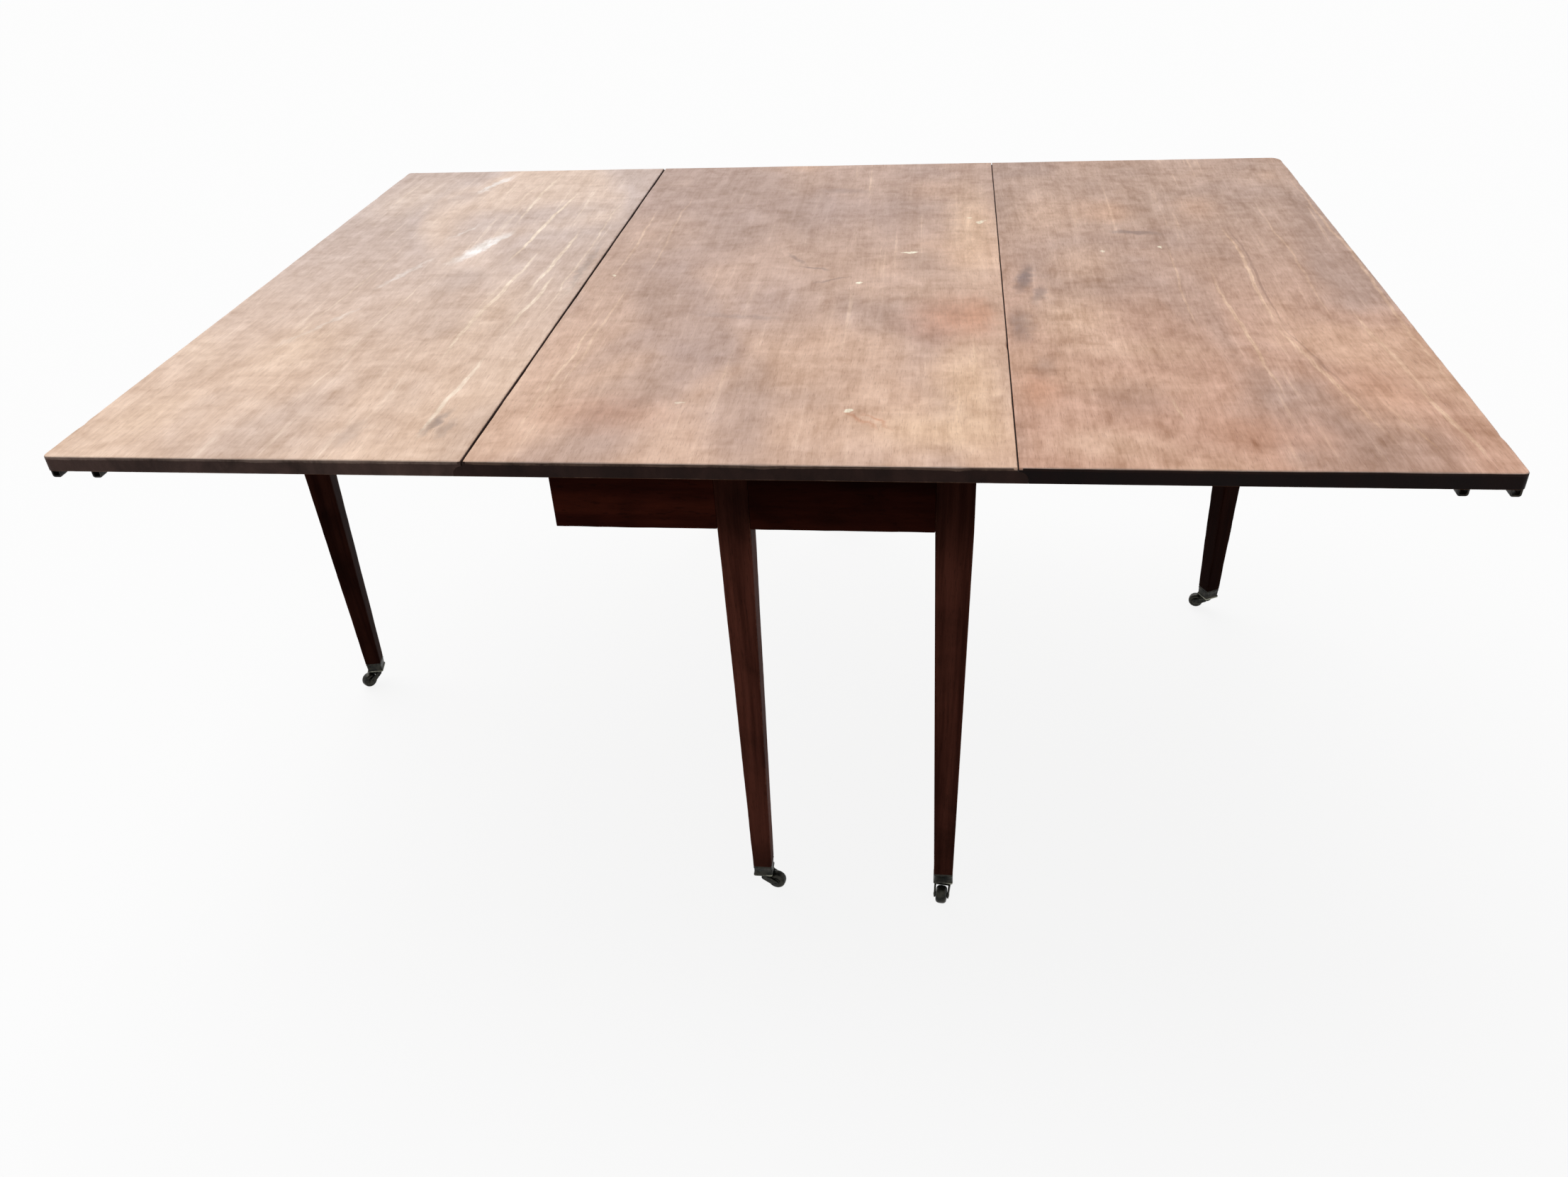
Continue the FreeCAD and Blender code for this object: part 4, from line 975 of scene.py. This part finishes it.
def loopShell(shape, x, y0, y1):
    # A flat strap carried down, across and up again, with rounded bends, drawn in at both of its edges.
    outer, wall, bend = shape["loopWidth"] / 2, shape["wall"], shape["bend"]
    low, high = shape["plateLow"] - shape["drop"], shape["plateLow"] + 0.5 * mm
    turn = np.linspace(0.0, np.pi / 2, 6)

    def around(half, floor, radius):
        right = stacked(half - radius + radius * np.cos(turn), floor + radius - radius * np.sin(turn))
        left = right[::-1] * [-1, 1]
        return np.concatenate([[[half, high]], right, left, [[-half, high]]])

    inside = around(outer - wall, low + wall, bend - wall + 0.6 * mm)
    midway = around(outer - wall / 2, low + wall / 2, 0.7 * mm)
    outline = np.concatenate([around(outer, low, bend), inside[::-1]])
    inward = np.concatenate([midway, midway[::-1]]) - outline
    y = np.array([0.0, 0.35, 1.0]) * shape["edge"]
    draw = np.array([0.35, 0.1, 0.0, 0.0, 0.1, 0.35])
    rings = np.stack([outline + inward * d + [x, 0.0] for d in draw])
    edge = np.array([0.7, 0.8, 0.2, 0.2, 0.8, 0.7])
    rings = raised(rings, np.concatenate([y0 + y, y1 - y[::-1]]))[..., [0, 2, 1]]
    return loftShell(rings, edge[:, None])


def makeKeepers(shape):
    dark = metalMaterial("keeperBrass", keeperFinish, 0.5, 0.5)
    half, apart = shape["width"] / 2, shape["spacing"] / 2
    for side in ("left", "right"):
        shells = []
        for k, end in enumerate(("front", "back")):
            x, y = mountAt["%s_%s_clip_sockets" % (end, side)][:2]
            y0, y1 = sorted((y, y - np.sign(y) * shape["length"]))
            shells.append(barShell((x - half, y0, shape["plateLow"]), (x + half, y1, shape["plateTop"]), "X",
                                   shape["plateArris"], shape["plateStep"], 600 + k))
            shells += [loopShell(shape, x + offset, y0, y1) for offset in (-apart, apart)]
        makePiece(side + "_clip_sockets", shells, dark, side + "_leaf",
                  [side + "_clip_keepers"])


makeKeepers(keeperShape)
print("clip sockets made")


# Finishes on the solids that show as they are

def dressSolids():
    iron = metalMaterial("hingeIron", ironFinish, 0.6, 0.6)
    for name, solid in frame["nodes"].items():
        if solid.hide_render:
            continue
        if "hinge" in name or "screws" in name or "knuckle_pin" in name:
            finish = iron
        elif "pintle" in name:
            finish = brass
        elif name.endswith("fly_rail"):
            turn = -gateTurn(name.split("_")[0] + "_gate")
            finish = railMaterial(name + "Wood", bareFinish, (0.0, 0.0, turn), (0.3, 0.2, 0.0))
        else:
            finish = railMaterial(name + "Wood", bareFinish, grainTurns["Y"], (0.2, 0.6, 0.0))
        solid.data.materials.clear()
        solid.data.materials.append(finish)


dressSolids()
print("solids dressed")


# Floor, light and camera

studio = {"floorSize": 40.0, "floorColour": tint(176, 174, 172), "white": 0.99, "lift": 0.88,
          "sky": 0.36, "sunLevel": 2.3, "sunSpread": 70.0, "sunFrom": (-0.46, 0.72, 0.95)}
photoCamera = {"imageSize": (2212, 1661), "focalPixels": 1749.1, "place": (0.21985, -1.74612, 1.34363),
               "pitch": 33.657, "yaw": -8.376, "roll": -3.311}


def backdropFactor(tree):             # one where the camera, a reflection or glass looks at the backdrop
    path = node(tree, "ShaderNodeLightPath").outputs
    seen = calc(tree, "MAXIMUM", path["Is Camera Ray"], path["Is Glossy Ray"])
    return calc(tree, "MAXIMUM", seen, path["Is Transmission Ray"])


def makeFloor(look):
    half = look["floorSize"] / 2
    corners = [(-half, -half, 0.0), (half, -half, 0.0), (half, half, 0.0), (-half, half, 0.0)]
    mesh = bpy.data.meshes.new("floor")
    mesh.from_pydata(corners, [], [(0, 1, 2, 3)])
    floor = placed("floor", mesh)
    material, tree, surface = newMaterial("paleFloor")
    tree.nodes.remove(surface)
    grey = node(tree, "ShaderNodeBsdfDiffuse", {"Color": look["floorColour"]}).outputs[0]
    paper = node(tree, "ShaderNodeBsdfDiffuse", {"Color": (look["white"],) * 3 + (1.0,)}).outputs[0]
    glow = node(tree, "ShaderNodeEmission", {"Strength": look["white"]}).outputs[0]
    white = node(tree, "ShaderNodeMixShader", {0: look["lift"], 1: paper, 2: glow}).outputs[0]
    shown = node(tree, "ShaderNodeMixShader", {0: backdropFactor(tree), 1: grey, 2: white}).outputs[0]
    tree.links.new(shown, tree.nodes["Material Output"].inputs["Surface"])
    mesh.materials.append(material)


def makeLight(look):
    world = bpy.data.worlds.new("softSky")
    world.use_nodes = True
    bpy.context.scene.world = world
    sky = world.node_tree
    levels = {"Value": backdropFactor(sky), "To Min": look["sky"], "To Max": 1.0}
    level = node(sky, "ShaderNodeMapRange", levels).outputs[0]
    sky.links.new(level, sky.nodes["Background"].inputs["Strength"])
    sky.nodes["Background"].inputs["Color"].default_value = (1.0, 1.0, 1.0, 1.0)
    light = bpy.data.lights.new("softSun", "SUN")
    light.energy = look["sunLevel"]
    light.angle = math.radians(look["sunSpread"])
    sun = placed("softSun", light)
    sun.matrix_world = Vector(look["sunFrom"]).to_track_quat("Z", "Y").to_matrix().to_4x4()


def makeCamera(view):
    lens = bpy.data.cameras.new("photoCamera")
    lens.sensor_fit = "HORIZONTAL"
    lens.sensor_width = 36.0
    lens.lens = view["focalPixels"] / view["imageSize"][0] * lens.sensor_width
    lens.clip_start, lens.clip_end = 0.05, 100.0
    camera = placed("photoCamera", lens)
    # a level view is turned by yaw, tipped down by pitch, then rolled about the line of sight
    pitch, yaw, roll = (math.radians(view[k]) for k in ("pitch", "yaw", "roll"))
    tipped = Matrix.Rotation(-yaw, 4, "Z") @ Matrix.Rotation(math.pi / 2 - pitch, 4, "X")
    camera.matrix_world = Matrix.Translation(view["place"]) @ tipped @ Matrix.Rotation(roll, 4, "Z")
    bpy.context.scene.camera = camera


makeFloor(studio)
makeLight(studio)
makeCamera(photoCamera)
bpy.context.scene.view_settings.view_transform = "Standard"
print("studio and camera set")
